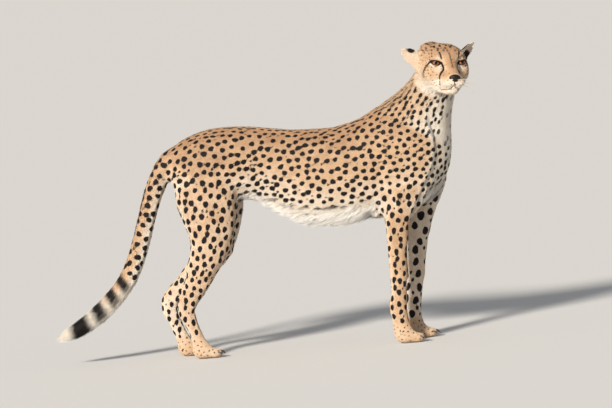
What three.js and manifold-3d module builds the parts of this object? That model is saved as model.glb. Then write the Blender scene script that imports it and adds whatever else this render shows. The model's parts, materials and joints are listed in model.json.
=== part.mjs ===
// A life-size standing cheetah, modelled to the tips of its coat, in millimetres.
// +X is where the body points, +Y is the animal's left and +Z is up. All four paws stand flat on z = 0.
// The whole animal is one smooth field, negative inside, made of limb tubes and muscle ellipsoids that
// blend into each other. Each sub-part is meshed from that field and parted from the next by a thin cut.
import * as THREE from "three";
import { mergeVertices } from "three/addons/utils/BufferGeometryUtils.js";
import Module from "manifold-3d";

const wasm = await Module();
wasm.setup();

// ---------------------------------------------------------------- driving dimensions, mm
const gap = 0.4; // left between neighbouring sub-parts
const eyeHeight = 863; // of the eyes above the floor
const eyeMiddle = new THREE.Vector3(499, -130, eyeHeight); // between the two pupils
const headTurn = THREE.MathUtils.degToRad(74); // the head looks over the right shoulder
const headTilt = THREE.MathUtils.degToRad(4.5); // towards its left ear
const eyeSpacing = 80;
const eyeballRadius = 17;
const eyeSetback = 13; // of the eyeballs' centres behind the pupils' line
const noseHalfSize = [13, 18, 12]; // along, across and up
const noseAt = [62, 0, -44]; // in the head's axes
const foreTrack = 66; // half the distance between the fore paws
const hindTrack = 62;
const leftForeAdvance = 34; // the left fore paw stands this far ahead of the right one
const leftForeLean = 0.1; // its leg gains this much more for each mm of height up to the elbow
const leftShoulderFall = 0.3; // and loses this much for each mm above
const elbowHeight = 400;
const pawCutHeight = 62;
// The ears are turned differently. Their ends and the way they open are given in the head's axes.
const ears = {
  right: { root: [-84, -54, -8], tip: [-94, -128, 36], opening: [0.85, -0.28, -0.34], halfWidth: 34 },
  left: { root: [-84, 62, 3], tip: [-96, 110, 52], opening: [0.72, 0.55, -0.42], halfWidth: 31 },
};
const earCup = 18; // depth of the hollow at the root
const tailTip = new THREE.Vector3(-772, -14, 88);

// ---------------------------------------------------------------- materials
const finish = (color, roughness) => new THREE.MeshStandardMaterial({ color, roughness, metalness: 0 });
const tawnyCoat = finish(0xd2a878, 0.85);
const paleCoat = finish(0xe9dcc6, 0.88);
const eyeGloss = finish(0xb8752c, 0.12);
const noseLeather = finish(0x17110f, 0.45);
const clawHorn = finish(0x3a2f28, 0.4);

// ---------------------------------------------------------------- the field's building blocks
// Distance to an ellipsoid-like form, from an offset already turned into its own axes.
function roundDistance(u, v, w, ru, rv, rw) {
  const reach = Math.hypot(u / ru, v / rv, w / rw);
  const steep = Math.hypot(u / (ru * ru), v / (rv * rv), w / (rw * rw));
  return steep < 1e-9 ? -Math.min(ru, rv, rw) : (reach * (reach - 1)) / steep;
}

// Joins two forms with a fillet of about the blend's size.
function blendMin(a, b, blend) {
  const h = Math.max(blend - Math.abs(a - b), 0) / blend;
  return Math.min(a, b) - (h * h * blend) / 4;
}

// A limb through stations [x, y, z, half depth, half width], smoothed between them by a spline.
// Depth is measured in the plane of the limb's bend, width across it.
function tube(stations, stepsPerSpan = 3) {
  const path = new THREE.CatmullRomCurve3(stations.map(([x, y, z]) => new THREE.Vector3(x, y, z)));
  const sizes = new THREE.CatmullRomCurve3(stations.map(([, , , d, w]) => new THREE.Vector3(d, w, 0)));
  const count = (stations.length - 1) * stepsPerSpan;
  const beads = Array.from({ length: count + 1 }, (_, i) => ({
    at: path.getPoint(i / count),
    size: sizes.getPoint(i / count),
  }));
  const spans = beads.slice(1).map((end, i) => {
    const start = beads[i];
    const along = end.at.clone().sub(start.at);
    const length = along.length();
    along.divideScalar(length);
    const across = new THREE.Vector3(0, 1, 0).addScaledVector(along, -along.y).normalize();
    return { start, end, along, length, across, deep: along.clone().cross(across) };
  });
  return (x, y, z) => {
    let nearest = Infinity;
    for (const s of spans) {
      const dx = x - s.start.at.x;
      const dy = y - s.start.at.y;
      const dz = z - s.start.at.z;
      const run = dx * s.along.x + dy * s.along.y + dz * s.along.z;
      const t = Math.min(Math.max(run / s.length, 0), 1);
      const past = run - t * s.length;
      const deep = s.start.size.x + (s.end.size.x - s.start.size.x) * t;
      const wide = s.start.size.y + (s.end.size.y - s.start.size.y) * t;
      const u = dx * s.deep.x + dy * s.deep.y + dz * s.deep.z;
      const v = dx * s.across.x + dy * s.across.y + dz * s.across.z;
      nearest = Math.min(nearest, roundDistance(u, v, past, deep, wide, Math.min(deep, wide)));
    }
    return nearest;
  };
}

// An ellipsoid with radii along its own axes, which a rotation about Y by pitch turns nose-down.
function ellipsoid([cx, cy, cz], [rx, ry, rz], pitch = 0) {
  const c = Math.cos(pitch);
  const s = Math.sin(pitch);
  return (x, y, z) => {
    const dx = x - cx;
    const dz = z - cz;
    return roundDistance(dx * c - dz * s, y - cy, dx * s + dz * c, rx, ry, rz);
  };
}

function blended(forms, blend) {
  return (x, y, z) => forms.reduce((sum, form) => blendMin(sum, form(x, y, z), blend), Infinity);
}

// ---------------------------------------------------------------- trunk and neck
// [x, top, bottom, half width] down the body from rump to chest.
const trunkSections = [
  [-368, 655, 572, 34],
  [-345, 675, 525, 58],
  [-305, 692, 500, 78],
  [-250, 708, 492, 88],
  [-190, 712, 487, 86],
  [-130, 706, 472, 80],
  [-75, 697, 455, 78],
  [-20, 691, 417, 84],
  [40, 686, 383, 94],
  [100, 684, 368, 101],
  [160, 684, 373, 104],
  [220, 698, 386, 103],
  [280, 712, 398, 99],
  [335, 714, 406, 92],
  [384, 700, 424, 80],
  [420, 656, 460, 59],
];
const trunk = tube(trunkSections.map(([x, top, low, w]) => [x, 0, (top + low) / 2, (top - low) / 2, w]));
const neck = tube([
  [335, 0, 606, 132, 92],
  [366, 0, 652, 124, 86],
  [398, 0, 702, 104, 76],
  [424, -3, 744, 87, 70],
  [444, -10, 786, 73, 67],
  [458, -24, 830, 64, 64],
]);

// ---------------------------------------------------------------- legs
// [x, z, half depth, half width, inset], from the paw up. The inset moves the leg towards the midline.
const foreleg = [
  [293, 40, 27, 24, 0],
  [290, 64, 28, 24, 0],
  [286, 88, 29, 24, 0],
  [284, 112, 31, 26, 0],
  [288, 138, 28.5, 26, 0],
  [292, 183, 27.5, 24, 0],
  [295, 230, 29.5, 25, 0],
  [295, 275, 32, 27, 0],
  [298, 320, 35, 30, 0],
  [302, 365, 39, 33, 1],
  [308, 405, 46, 36, 2],
  [330, 455, 62, 40, 4],
  [358, 512, 74, 40, 6],
  [352, 575, 70, 38, 10],
  [318, 640, 55, 34, 16],
  [292, 690, 36, 26, 26],
];
const rightHindleg = [
  [-336, 42, 23, 21, 0],
  [-346, 72, 22, 19, 0],
  [-356, 105, 22, 19, 0],
  [-368, 138, 25, 21, 0],
  [-372, 168, 29, 23, 0],
  [-352, 200, 35, 25, 0],
  [-330, 240, 43, 32, 0],
  [-309, 285, 50, 38, 1],
  [-285, 335, 60, 43, 2],
  [-275, 385, 72, 47, 3],
  [-277, 440, 86, 50, 6],
  [-284, 500, 97, 48, 12],
  [-288, 560, 92, 42, 20],
  [-285, 615, 72, 34, 28],
];
const leftHindleg = [
  [-384, 42, 23, 21, 0],
  [-396, 72, 22, 19, 0],
  [-408, 105, 22, 19, 0],
  [-422, 138, 25, 21, 0],
  [-425, 170, 28, 23, 0],
  [-392, 203, 32, 25, 0],
  [-352, 240, 38, 31, 0],
  [-312, 280, 45, 37, 1],
  [-276, 325, 58, 43, 2],
  [-262, 380, 72, 47, 3],
  [-258, 440, 88, 50, 6],
  [-264, 500, 97, 48, 12],
  [-276, 560, 92, 42, 20],
  [-280, 615, 72, 34, 28],
];
const leg = (sections, track, shift) =>
  tube(sections.map(([x, z, d, w, inset]) => [x + shift(z), track - Math.sign(track) * inset, z, d, w]));
const advance = (z) =>
  leftForeAdvance + leftForeLean * Math.min(z, elbowHeight) - leftShoulderFall * Math.max(z - elbowHeight, 0);
const still = () => 0;

// ---------------------------------------------------------------- paws
// A paw's sole lies on the floor. Its ball is centred at (x, y), and its four toes fan out ahead of it.
const toeFan = [-0.24, -0.08, 0.08, 0.24]; // radians
const toeReach = [27, 36, 36, 27];
const toeSize = [19, 12, 14];
const pawBall = [34, 29, 23];
const soleLevel = 16; // of the toes' middles above the floor, before the sole is cut flat
const clawProfile = [[0, 0], [3.4, 2], [0, 15.5]]; // radius and distance from the claw's root
const clawDroop = THREE.MathUtils.degToRad(118); // of the claws from upright

function pawForms(x, y) {
  const toes = toeFan.map((angle, i) => {
    const reach = toeReach[i];
    const middle = [x + reach * Math.cos(angle), y + 1.9 * reach * Math.sin(angle), soleLevel - 1];
    return ellipsoid(middle, toeSize);
  });
  return [ellipsoid([x - 4, y, soleLevel + 6], pawBall), ...toes];
}
const paws = {
  front_right: { x: 306, y: -foreTrack },
  front_left: { x: 306 + leftForeAdvance + 6, y: foreTrack },
  hind_right: { x: -323, y: -hindTrack },
  hind_left: { x: -370, y: hindTrack },
};

// ---------------------------------------------------------------- tail
const tailCourse = [
  new THREE.Vector3(-322, 0, 640),
  new THREE.Vector3(-388, 0, 612),
  new THREE.Vector3(-436, 0, 540),
  new THREE.Vector3(-470, -4, 450),
  new THREE.Vector3(-500, -8, 356),
  new THREE.Vector3(-548, -10, 254),
  new THREE.Vector3(-625, -12, 172),
  new THREE.Vector3(-692, -13, 125),
  new THREE.Vector3(-742, -14, 101),
  tailTip,
];
const tailRadii = [40, 37, 32, 30, 30, 31, 32, 29, 23, 8];
const tailCurve = new THREE.CatmullRomCurve3(tailCourse);
const tailSizes = new THREE.CatmullRomCurve3(tailRadii.map((r) => new THREE.Vector3(r, 0, 0)));

// ---------------------------------------------------------------- head
// The head's own axes: forward out of the nose, left, and up, from a point between the pupils.
const headUp = new THREE.Vector3(Math.sin(headTilt), 0, Math.cos(headTilt));
const headForward = new THREE.Vector3(
  Math.cos(headTurn) * Math.cos(headTilt),
  -Math.sin(headTurn),
  -Math.cos(headTurn) * Math.sin(headTilt),
);
const headLeft = headUp.clone().cross(headForward);
const inHead = (f, l, u) =>
  eyeMiddle.clone().addScaledVector(headForward, f).addScaledVector(headLeft, l).addScaledVector(headUp, u);

// A form given in the head's axes, evaluated at a point of the body's frame.
function headForm(form) {
  return (x, y, z) => {
    const dx = x - eyeMiddle.x;
    const dy = y - eyeMiddle.y;
    const dz = z - eyeMiddle.z;
    return form(
      dx * headForward.x + dy * headForward.y + dz * headForward.z,
      dx * headLeft.x + dy * headLeft.y + dz * headLeft.z,
      dx * headUp.x + dy * headUp.y + dz * headUp.z,
    );
  };
}
const bothSides = (make) => [make(1), make(-1)];
const skullForms = [
  ellipsoid([-66, 0, -3], [76, 66, 57]), // brain case
  ellipsoid([-98, -32, 24], [42, 36, 35]), // nape, bunched on the side the head is turned to
  ellipsoid([-30, 0, 20], [40, 46, 32]), // forehead
  ...bothSides((side) => ellipsoid([-42, side * 40, -30], [46, 36, 43])), // cheeks
  ...bothSides((side) => ellipsoid([-16, side * 33, 19], [17, 17, 10])), // brows
  ellipsoid([-66, 0, -46], [58, 56, 46]), // throat
];
const faceForms = [
  tube([
    [-22, 0, 14, 26, 25],
    [16, 0, -8, 20, 19],
    [46, 0, -27, 14, 16],
    [60, 0, -40, 12, 14],
  ]), // bridge of the nose
  ellipsoid([26, 0, -52], [42, 35, 29]), // muzzle
  ...bothSides((side) => ellipsoid([42, side * 17, -58], [26, 20, 18])), // whisker pads
  ellipsoid([32, 0, -84], [25, 21, 14]), // chin
  ...bothSides((side) => tube([
    [-52, side * 34, -62, 30, 24],
    [-10, side * 22, -76, 22, 18],
    [24, side * 9, -84, 13, 12],
  ])), // jaw
];
const eyeSockets = bothSides((side) => ellipsoid([16, (side * eyeSpacing) / 2 + side * 2, -2], [18, 17, 13]));
const skull = blended(skullForms, 24);
const face = blended(faceForms, 12);
const head = headForm((f, l, u) => {
  const solid = blendMin(skull(f, l, u), face(f, l, u), 20);
  return eyeSockets.reduce((left, socket) => -blendMin(-left, socket(f, l, u), 9), solid);
});

// ---------------------------------------------------------------- the whole animal
const body = blended([trunk, neck], 60);
const legs = {
  front_right: leg(foreleg, -foreTrack, still),
  front_left: leg(foreleg, foreTrack, advance),
  hind_right: leg(rightHindleg, -hindTrack, still),
  hind_left: leg(leftHindleg, hindTrack, still),
};
const limbs = Object.keys(legs).map((name) => {
  const foot = blended(pawForms(paws[name].x, paws[name].y), 7);
  return (x, y, z) => blendMin(legs[name](x, y, z), foot(x, y, z), 16);
});
function animal(x, y, z) {
  let d = body(x, y, z);
  for (const limb of limbs) d = blendMin(d, limb(x, y, z), 26);
  d = blendMin(d, head(x, y, z), 26);
  return Math.max(d, -z); // the soles are cut flat by the floor
}

// ---------------------------------------------------------------- meshing
// Squared distance between two vertices of a flat list of coordinates.
function span(positions, p, q) {
  return [0, 1, 2].reduce((sum, axis) => sum + (positions[3 * p + axis] - positions[3 * q + axis]) ** 2, 0);
}

// Meshes the field's surface by surface nets: one vertex to each cell of a grid, whose lines are given for
// each axis, moved onto the surface. The mesh is closed at the grid's edge.
function meshField(field, lines) {
  const n = lines.map((axisLines) => axisLines.length);
  const at = (i, j, k) => (k * n[1] + j) * n[0] + i;
  const value = new Float64Array(n[0] * n[1] * n[2]);
  for (let k = 0; k < n[2]; k++)
    for (let j = 0; j < n[1]; j++)
      for (let i = 0; i < n[0]; i++) {
        const edge = i % (n[0] - 1) === 0 || j % (n[1] - 1) === 0 || k % (n[2] - 1) === 0;
        const d = field(lines[0][i], lines[1][j], lines[2][k]);
        value[at(i, j, k)] = edge ? Math.max(d, 1e-3) : d || 1e-6;
      }
  const settle = (point, cell) => {
    const probe = 0.5;
    for (let pass = 0; pass < 2; pass++) {
      const d = field(...point);
      const slope = point.map((_, a) => {
        const moved = [...point];
        moved[a] += probe;
        return (field(...moved) - d) / probe;
      });
      const steep = Math.max(slope[0] ** 2 + slope[1] ** 2 + slope[2] ** 2, 0.25);
      point = point.map((c, a) => {
        const [low, high] = [lines[a][cell[a]], lines[a][cell[a] + 1]];
        const margin = 0.08 * (high - low);
        return Math.min(Math.max(c - (d * slope[a]) / steep, low + margin), high - margin);
      });
    }
    return point;
  };
  const corners = [0, 1, 2, 3, 4, 5, 6, 7].map((c) => [c & 1, (c >> 1) & 1, c >> 2]);
  const positions = [];
  const vertexOf = new Int32Array(value.length).fill(-1);
  for (let k = 0; k < n[2] - 1; k++)
    for (let j = 0; j < n[1] - 1; j++)
      for (let i = 0; i < n[0] - 1; i++) {
        const values = corners.map(([a, b, c]) => value[at(i + a, j + b, k + c)]);
        if (values.every((d) => d < 0) || values.every((d) => d >= 0)) continue;
        const sum = [0, 0, 0];
        let crossings = 0;
        for (let c = 0; c < 8; c++)
          for (let axis = 0; axis < 3; axis++) {
            const other = c | (1 << axis);
            if (other === c || values[c] < 0 === values[other] < 0) continue;
            const t = values[c] / (values[c] - values[other]);
            for (let a = 0; a < 3; a++) sum[a] += corners[c][a] + (a === axis ? t : 0);
            crossings++;
          }
        vertexOf[at(i, j, k)] = positions.length / 3;
        const cell = [i, j, k];
        const mean = cell.map((g, a) => lines[a][g] + (lines[a][g + 1] - lines[a][g]) * (sum[a] / crossings));
        positions.push(...settle(mean, cell));
      }
  const faces = [];
  const step = [at(1, 0, 0), at(0, 1, 0), at(0, 0, 1)];
  for (let k = 0; k < n[2] - 1; k++)
    for (let j = 0; j < n[1] - 1; j++)
      for (let i = 0; i < n[0] - 1; i++)
        for (let axis = 0; axis < 3; axis++) {
          const cellAt = [i, j, k];
          if (!cellAt[(axis + 1) % 3] || !cellAt[(axis + 2) % 3]) continue;
          const here = at(i, j, k);
          const inside = value[here] < 0;
          if (inside === value[here + step[axis]] < 0) continue;
          const u = step[(axis + 1) % 3];
          const v = step[(axis + 2) % 3];
          const ring = [here - u - v, here - v, here, here - u].map((cellIndex) => vertexOf[cellIndex]);
          const [a, b, c, d] = inside ? ring : ring.reverse();
          const shortest = span(positions, a, c) < span(positions, b, d);
          faces.push(...(shortest ? [a, b, c, a, c, d] : [b, c, d, b, d, a]));
        }
  return solidFrom(new Float32Array(positions), new Uint32Array(faces));
}

function solidFrom(vertProperties, triVerts) {
  return new wasm.Manifold(new wasm.Mesh({ numProp: 3, vertProperties, triVerts }));
}

// A closed three.js geometry as a solid.
function solidOf(geometry) {
  const bare = geometry.clone();
  bare.deleteAttribute("normal");
  bare.deleteAttribute("uv");
  const merged = mergeVertices(bare, 1e-3);
  return solidFrom(new Float32Array(merged.attributes.position.array), new Uint32Array(merged.index.array));
}

function geometryOf(solid) {
  const mesh = solid.getMesh();
  const geometry = new THREE.BufferGeometry();
  geometry.setAttribute("position", new THREE.BufferAttribute(new Float32Array(mesh.vertProperties), 3));
  geometry.setIndex(new THREE.BufferAttribute(new Uint32Array(mesh.triVerts), 1));
  return geometry;
}

// A solid swelled by the gap along each axis, for cutting a seat for its neighbour.
function swelled(solid) {
  return [0, 1, 2].flatMap((axis) => [gap, -gap].map((shift) => {
    const copy = geometryOf(solid);
    copy.translate(...[0, 1, 2].map((a) => (a === axis ? shift : 0)));
    return solidOf(copy);
  })).reduce((sum, copy) => sum.add(copy), solid);
}

// Grid lines about evenly spaced through stops of [place, spacing up to the next stop].
function gridLines(...stops) {
  return stops.flatMap(([start, spacing], i) => {
    if (i === stops.length - 1) return [start];
    const length = stops[i + 1][0] - start;
    const count = Math.max(Math.round(length / spacing), 1);
    return Array.from({ length: count }, (_, j) => start + (length * j) / count);
  });
}

// ---------------------------------------------------------------- cutters
// A slab on the side of a plane that its normal points to, from the given offset beyond the point.
function halfSpace(point, normal, offset = 0) {
  const reach = 1600;
  const slab = new THREE.BoxGeometry(reach, reach, reach);
  slab.translate(0, 0, reach / 2 + offset);
  const way = normal.clone().normalize();
  slab.applyQuaternion(new THREE.Quaternion().setFromUnitVectors(new THREE.Vector3(0, 0, 1), way));
  slab.translate(point.x, point.y, point.z);
  return solidOf(slab);
}

// The space that holds one leg: a prism along X whose section slopes up and out over the limb's muscle.
// side is 1 for the left. grow moves all its faces outwards, to cut the seat that the leg sits in.
function legSpace({ x0, x1, groin, brow }, side, grow = 0) {
  const midline = legInnerFace - grow;
  const reach = 300; // beyond the animal's side
  const outline = [
    [midline, -20],
    [midline, groin[1] + grow],
    [groin[0], groin[1] + grow],
    [brow[0], brow[1] + 1.5 * grow],
    [reach, brow[1] + 40],
    [reach, -20],
  ];
  const shape = new THREE.Shape(outline.map(([y, z]) => new THREE.Vector2(side * y, z)));
  const prism = new THREE.ExtrudeGeometry(shape, { depth: x1 - x0 + 2 * grow, bevelEnabled: false });
  prism.applyMatrix4(new THREE.Matrix4().makeBasis(
    new THREE.Vector3(0, 1, 0),
    new THREE.Vector3(0, 0, 1),
    new THREE.Vector3(1, 0, 0),
  ));
  prism.translate(x0 - grow, 0, 0);
  return solidOf(prism);
}
const legInnerFace = 9; // of the leg spaces from the body's middle plane
const foreSpace = { groin: [26, 404], brow: [112, 505] };
const hindSpace = { groin: [24, 462], brow: [104, 575] };
const legSpaces = {
  front_right: { ...foreSpace, x0: 236, x1: 412 },
  front_left: { ...foreSpace, x0: 252, x1: 470 },
  hind_right: { ...hindSpace, x0: -520, x1: -176 },
  hind_left: { ...hindSpace, x0: -560, x1: -163 },
};
const sideOf = (name) => (name.endsWith("left") ? 1 : -1);

const neckBase = { at: new THREE.Vector3(376, 0, 664), facing: new THREE.Vector3(0.537, 0, 0.844) };
const headBase = { at: new THREE.Vector3(455, -35, 815), facing: new THREE.Vector3(0.15, -0.8, 0.58) };
const tailCut = (share) => ({ at: tailCurve.getPoint(share), facing: tailCurve.getTangent(share) });
const tailMiddle = tailCut(0.48);
const tailEnd = tailCut(0.77);
const beyond = ({ at, facing }) => halfSpace(at, facing, gap / 2);
const before = ({ at, facing }) => halfSpace(at, facing.clone().negate(), gap / 2);

// ---------------------------------------------------------------- the sub-parts
const group = new THREE.Group();
function addPart(name, solid, material) {
  const mesh = new THREE.Mesh(geometryOf(solid), material);
  mesh.name = name;
  group.add(mesh);
}

// The largest of the pieces that a cut leaves.
function mainPiece(solid) {
  return solid.decompose().sort((a, b) => b.volume() - a.volume())[0];
}

// The trunk, neck and upper limbs share one mesh, so that the cuts between them leave clean edges.
const bodyLines = [
  gridLines([-500, 21], [-220, 66], [220, 25], [450, 30], [560]),
  gridLines([-170, 33], [-104, 18.5], [-30, 30], [30, 18.5], [104, 26], [150]),
  gridLines([20, 29], [340, 41], [960]),
];
const bodyMesh = meshField(animal, bodyLines);
const aboveCut = { at: new THREE.Vector3(0, 0, pawCutHeight), facing: new THREE.Vector3(0, 0, 1) };

function addTrunk() {
  let solid = bodyMesh.intersect(before(neckBase));
  for (const [name, space] of Object.entries(legSpaces)) {
    solid = solid.subtract(legSpace(space, sideOf(name), gap));
  }
  addPart("trunk", mainPiece(solid), tawnyCoat);
}

const bodyNeck = mainPiece(bodyMesh.intersect(beyond(neckBase)).intersect(before(headBase)));

function addLegs() {
  for (const [name, space] of Object.entries(legSpaces)) {
    const solid = bodyMesh.intersect(legSpace(space, sideOf(name))).intersect(beyond(aboveCut));
    addPart("leg_" + name, mainPiece(solid), tawnyCoat);
  }
}

function addPaws() {
  for (const [name, { x, y }] of Object.entries(paws)) {
    const lines = [
      gridLines([x - 74, 12], [x + 74]),
      gridLines([y - 52, 10.4], [y + 52]),
      gridLines([-10, 11.5], [pawCutHeight + 20]),
    ];
    const floor = halfSpace(new THREE.Vector3(), new THREE.Vector3(0, 0, 1));
    const paw = mainPiece(meshField(animal, lines).intersect(before(aboveCut)).intersect(floor));
    addPart("paw_" + name, paw, paleCoat);
    addClaws(name, x, y, swelled(paw));
  }
}

// Short blunt claws, which stay out of the toes as on a running dog.
function addClaws(pawName, x, y, seat) {
  toeFan.forEach((angle, i) => {
    const reach = toeReach[i] + 14;
    const profile = clawProfile.map(([r, h]) => new THREE.Vector2(r, h));
    const claw = new THREE.LatheGeometry(profile, 5);
    claw.rotateZ(-clawDroop);
    claw.applyMatrix4(new THREE.Matrix4().makeRotationX(Math.PI / 2));
    claw.rotateZ(angle * 1.4);
    claw.translate(x + reach * Math.cos(angle), y + 1.75 * reach * Math.sin(angle), soleLevel + 1);
    addPart(`claw_${pawName}_${i + 1}`, mainPiece(solidOf(claw).subtract(seat)), clawHorn);
  });
}

// A round sweep along the tail, closed at both ends.
function tailSweep(rings, segments) {
  const frames = tailCurve.computeFrenetFrames(rings);
  const positions = [];
  for (let i = 0; i <= rings; i++) {
    const centre = tailCurve.getPoint(i / rings);
    const radius = tailSizes.getPoint(i / rings).x;
    for (let j = 0; j < segments; j++) {
      const turn = (2 * Math.PI * j) / segments;
      const out = frames.normals[i].clone().multiplyScalar(Math.cos(turn));
      out.addScaledVector(frames.binormals[i], Math.sin(turn));
      positions.push(...centre.clone().addScaledVector(out, radius).toArray());
    }
  }
  const start = positions.length / 3;
  positions.push(...tailCourse[0].toArray(), ...tailTip.toArray());
  const faces = [];
  for (let j = 0; j < segments; j++) {
    const next = (j + 1) % segments;
    faces.push(start, next, j, start + 1, rings * segments + j, rings * segments + next);
    for (let i = 0; i < rings; i++) {
      const a = i * segments;
      faces.push(a + j, a + next, a + segments + next, a + j, a + segments + next, a + segments + j);
    }
  }
  return solidFrom(new Float32Array(positions), new Uint32Array(faces));
}

function addTail() {
  const whole = tailSweep(20, 8).subtract(swelled(bodyMesh));
  const middle = whole.intersect(beyond(tailMiddle)).intersect(before(tailEnd));
  addPart("tail_root", mainPiece(whole.intersect(before(tailMiddle))), tawnyCoat);
  addPart("tail_middle", mainPiece(middle), tawnyCoat);
  addPart("tail_tip", mainPiece(whole.intersect(beyond(tailEnd))), paleCoat);
}

// A cupped ear that narrows to a rounded tip. s runs from its root to its tip, t across it.
function earShell(ear) {
  const root = inHead(...ear.root);
  const up = inHead(...ear.tip).sub(root);
  const length = up.length();
  up.divideScalar(length);
  const opening = inHead(...ear.opening).sub(eyeMiddle);
  opening.addScaledVector(up, -opening.dot(up)).normalize();
  const across = up.clone().cross(opening);
  const rows = 4;
  const columns = 6;
  const point = (s, t, front) => {
    const reach = ear.halfWidth * (1 - 0.42 * s) * Math.sqrt(1 - 0.97 * s ** 5);
    const cup = earCup * (1 - t * t) * (1 - 0.55 * s);
    const thickness = (9 - 4.5 * s) * (1 - 0.55 * t * t);
    return root
      .clone()
      .addScaledVector(up, length * s)
      .addScaledVector(across, reach * t)
      .addScaledVector(opening, (front ? thickness : 0) - cup);
  };
  const positions = [];
  for (const front of [false, true])
    for (let i = 0; i <= rows; i++)
      for (let j = 0; j <= columns; j++) {
        const t = (2 * j) / columns - 1;
        positions.push(...point(i / rows, t, front).toArray());
      }
  const index = (layer, i, j) => (layer * (rows + 1) + i) * (columns + 1) + j;
  const faces = [];
  const quad = (a, b, c, d) => faces.push(a, b, c, a, c, d);
  for (let i = 0; i < rows; i++)
    for (let j = 0; j < columns; j++) {
      quad(index(0, i, j), index(0, i + 1, j), index(0, i + 1, j + 1), index(0, i, j + 1));
      quad(index(1, i, j), index(1, i, j + 1), index(1, i + 1, j + 1), index(1, i + 1, j));
    }
  for (let i = 0; i < rows; i++) {
    quad(index(0, i, 0), index(1, i, 0), index(1, i + 1, 0), index(0, i + 1, 0));
    quad(index(0, i, columns), index(0, i + 1, columns), index(1, i + 1, columns), index(1, i, columns));
  }
  for (let j = 0; j < columns; j++) {
    quad(index(0, 0, j), index(0, 0, j + 1), index(1, 0, j + 1), index(1, 0, j));
    quad(index(0, rows, j), index(1, rows, j), index(1, rows, j + 1), index(0, rows, j + 1));
  }
  return solidFrom(new Float32Array(positions), new Uint32Array(faces));
}

function addHead() {
  const lines = [gridLines([360, 15], [600]), gridLines([-240, 15], [60]), gridLines([730, 14.4], [960])];
  const trim = (solid) => mainPiece(solid.intersect(beyond(headBase)));
  let solid = trim(meshField(animal, lines));
  const seat = swelled(solid);
  for (const [name, ear] of Object.entries(ears)) {
    const at = inHead(-eyeSetback, sideOf(name) * (eyeSpacing / 2 - 1), 0);
    const eyeball = (radius) => {
      const ball = new THREE.SphereGeometry(radius, 10, 7);
      ball.translate(at.x, at.y, at.z);
      return solidOf(ball);
    };
    addPart("eye_" + name, eyeball(eyeballRadius), eyeGloss);
    solid = solid.subtract(eyeball(eyeballRadius + gap));
    const shell = earShell(ear).subtract(seat).subtract(swelled(bodyNeck));
    addPart("ear_" + name, mainPiece(shell), tawnyCoat);
  }
  addPart("head", mainPiece(solid), tawnyCoat);
  addNose(seat);
}

function addNose(seat) {
  const nose = new THREE.SphereGeometry(1, 10, 6);
  nose.scale(...noseHalfSize);
  nose.rotateZ(-headTurn);
  const at = inHead(...noseAt);
  nose.translate(at.x, at.y, at.z);
  addPart("nose", mainPiece(solidOf(nose).subtract(seat)), noseLeather);
}

addTrunk();
addPart("neck", bodyNeck, tawnyCoat);
addLegs();
addPaws();
addTail();
addHead();

// The origin is on the floor below the middle of the animal's bounding box.
const extent = new THREE.Box3().setFromObject(group);
const middle = extent.getCenter(new THREE.Vector3());
group.position.set(-middle.x, -middle.y, -extent.min.z);

export default group;
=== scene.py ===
import json
import math

import bmesh
import bpy
import numpy as np
from bpy.props import FloatProperty, FloatVectorProperty, IntProperty, PointerProperty
from mathutils import Matrix, Vector
from mathutils.bvhtree import BVHTree
from mathutils.kdtree import KDTree

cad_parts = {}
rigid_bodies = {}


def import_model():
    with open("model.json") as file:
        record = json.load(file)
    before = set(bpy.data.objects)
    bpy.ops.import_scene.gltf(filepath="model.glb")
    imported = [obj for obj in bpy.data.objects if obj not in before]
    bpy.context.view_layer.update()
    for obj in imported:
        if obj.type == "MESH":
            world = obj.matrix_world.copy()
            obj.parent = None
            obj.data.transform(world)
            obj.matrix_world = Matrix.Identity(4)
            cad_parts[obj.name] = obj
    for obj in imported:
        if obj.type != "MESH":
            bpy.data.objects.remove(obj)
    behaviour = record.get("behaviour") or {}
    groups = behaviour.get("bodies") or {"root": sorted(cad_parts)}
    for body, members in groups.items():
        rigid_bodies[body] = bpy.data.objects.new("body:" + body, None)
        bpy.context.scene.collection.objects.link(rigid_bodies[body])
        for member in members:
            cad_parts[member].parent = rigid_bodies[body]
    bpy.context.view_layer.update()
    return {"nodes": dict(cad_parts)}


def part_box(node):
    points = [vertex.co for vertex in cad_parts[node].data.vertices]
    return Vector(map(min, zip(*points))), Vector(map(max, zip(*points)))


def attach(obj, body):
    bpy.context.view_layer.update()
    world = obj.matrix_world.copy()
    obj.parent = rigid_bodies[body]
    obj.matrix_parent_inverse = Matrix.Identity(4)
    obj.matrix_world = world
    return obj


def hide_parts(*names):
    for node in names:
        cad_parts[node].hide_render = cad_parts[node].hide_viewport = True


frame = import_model()

bl_info = {
    "name": "Standing Cheetah",
    "version": (1, 0, 0),
    "blender": (4, 5, 0),
    "location": "3D View > Sidebar > Cheetah",
    "description": "Builds a life-size cheetah round its CAD frame: skin, coat, face, claws and studio",
    "category": "Add Mesh",
}

# ------------------------------------------------------------------ names of the frame's nodes
LEGS = ["leg_front_right", "leg_front_left", "leg_hind_right", "leg_hind_left"]
PAWS = ["paw_front_right", "paw_front_left", "paw_hind_right", "paw_hind_left"]
TAIL = ["tail_root", "tail_middle", "tail_tip"]
EARS = ["ear_right", "ear_left"]
FLESH = ["trunk", "neck", "head"] + EARS + LEGS + PAWS + TAIL
CLAWS = sorted(name for name in frame["nodes"] if name.startswith("claw_"))
BODY = "root"
SKIN = "cheetah_skin"
RANDOM_SEED = 11

# ------------------------------------------------------------------ small helpers


def smooth_step(value, low, high):
    """0 at low and 1 at high, with a soft start and end. low may be above high."""
    t = np.clip((value - low) / (high - low), 0.0, 1.0)
    return t * t * (3.0 - 2.0 * t)


def unit(vectors):
    return vectors / np.maximum(np.linalg.norm(vectors, axis=-1, keepdims=True), 1e-9)


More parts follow.
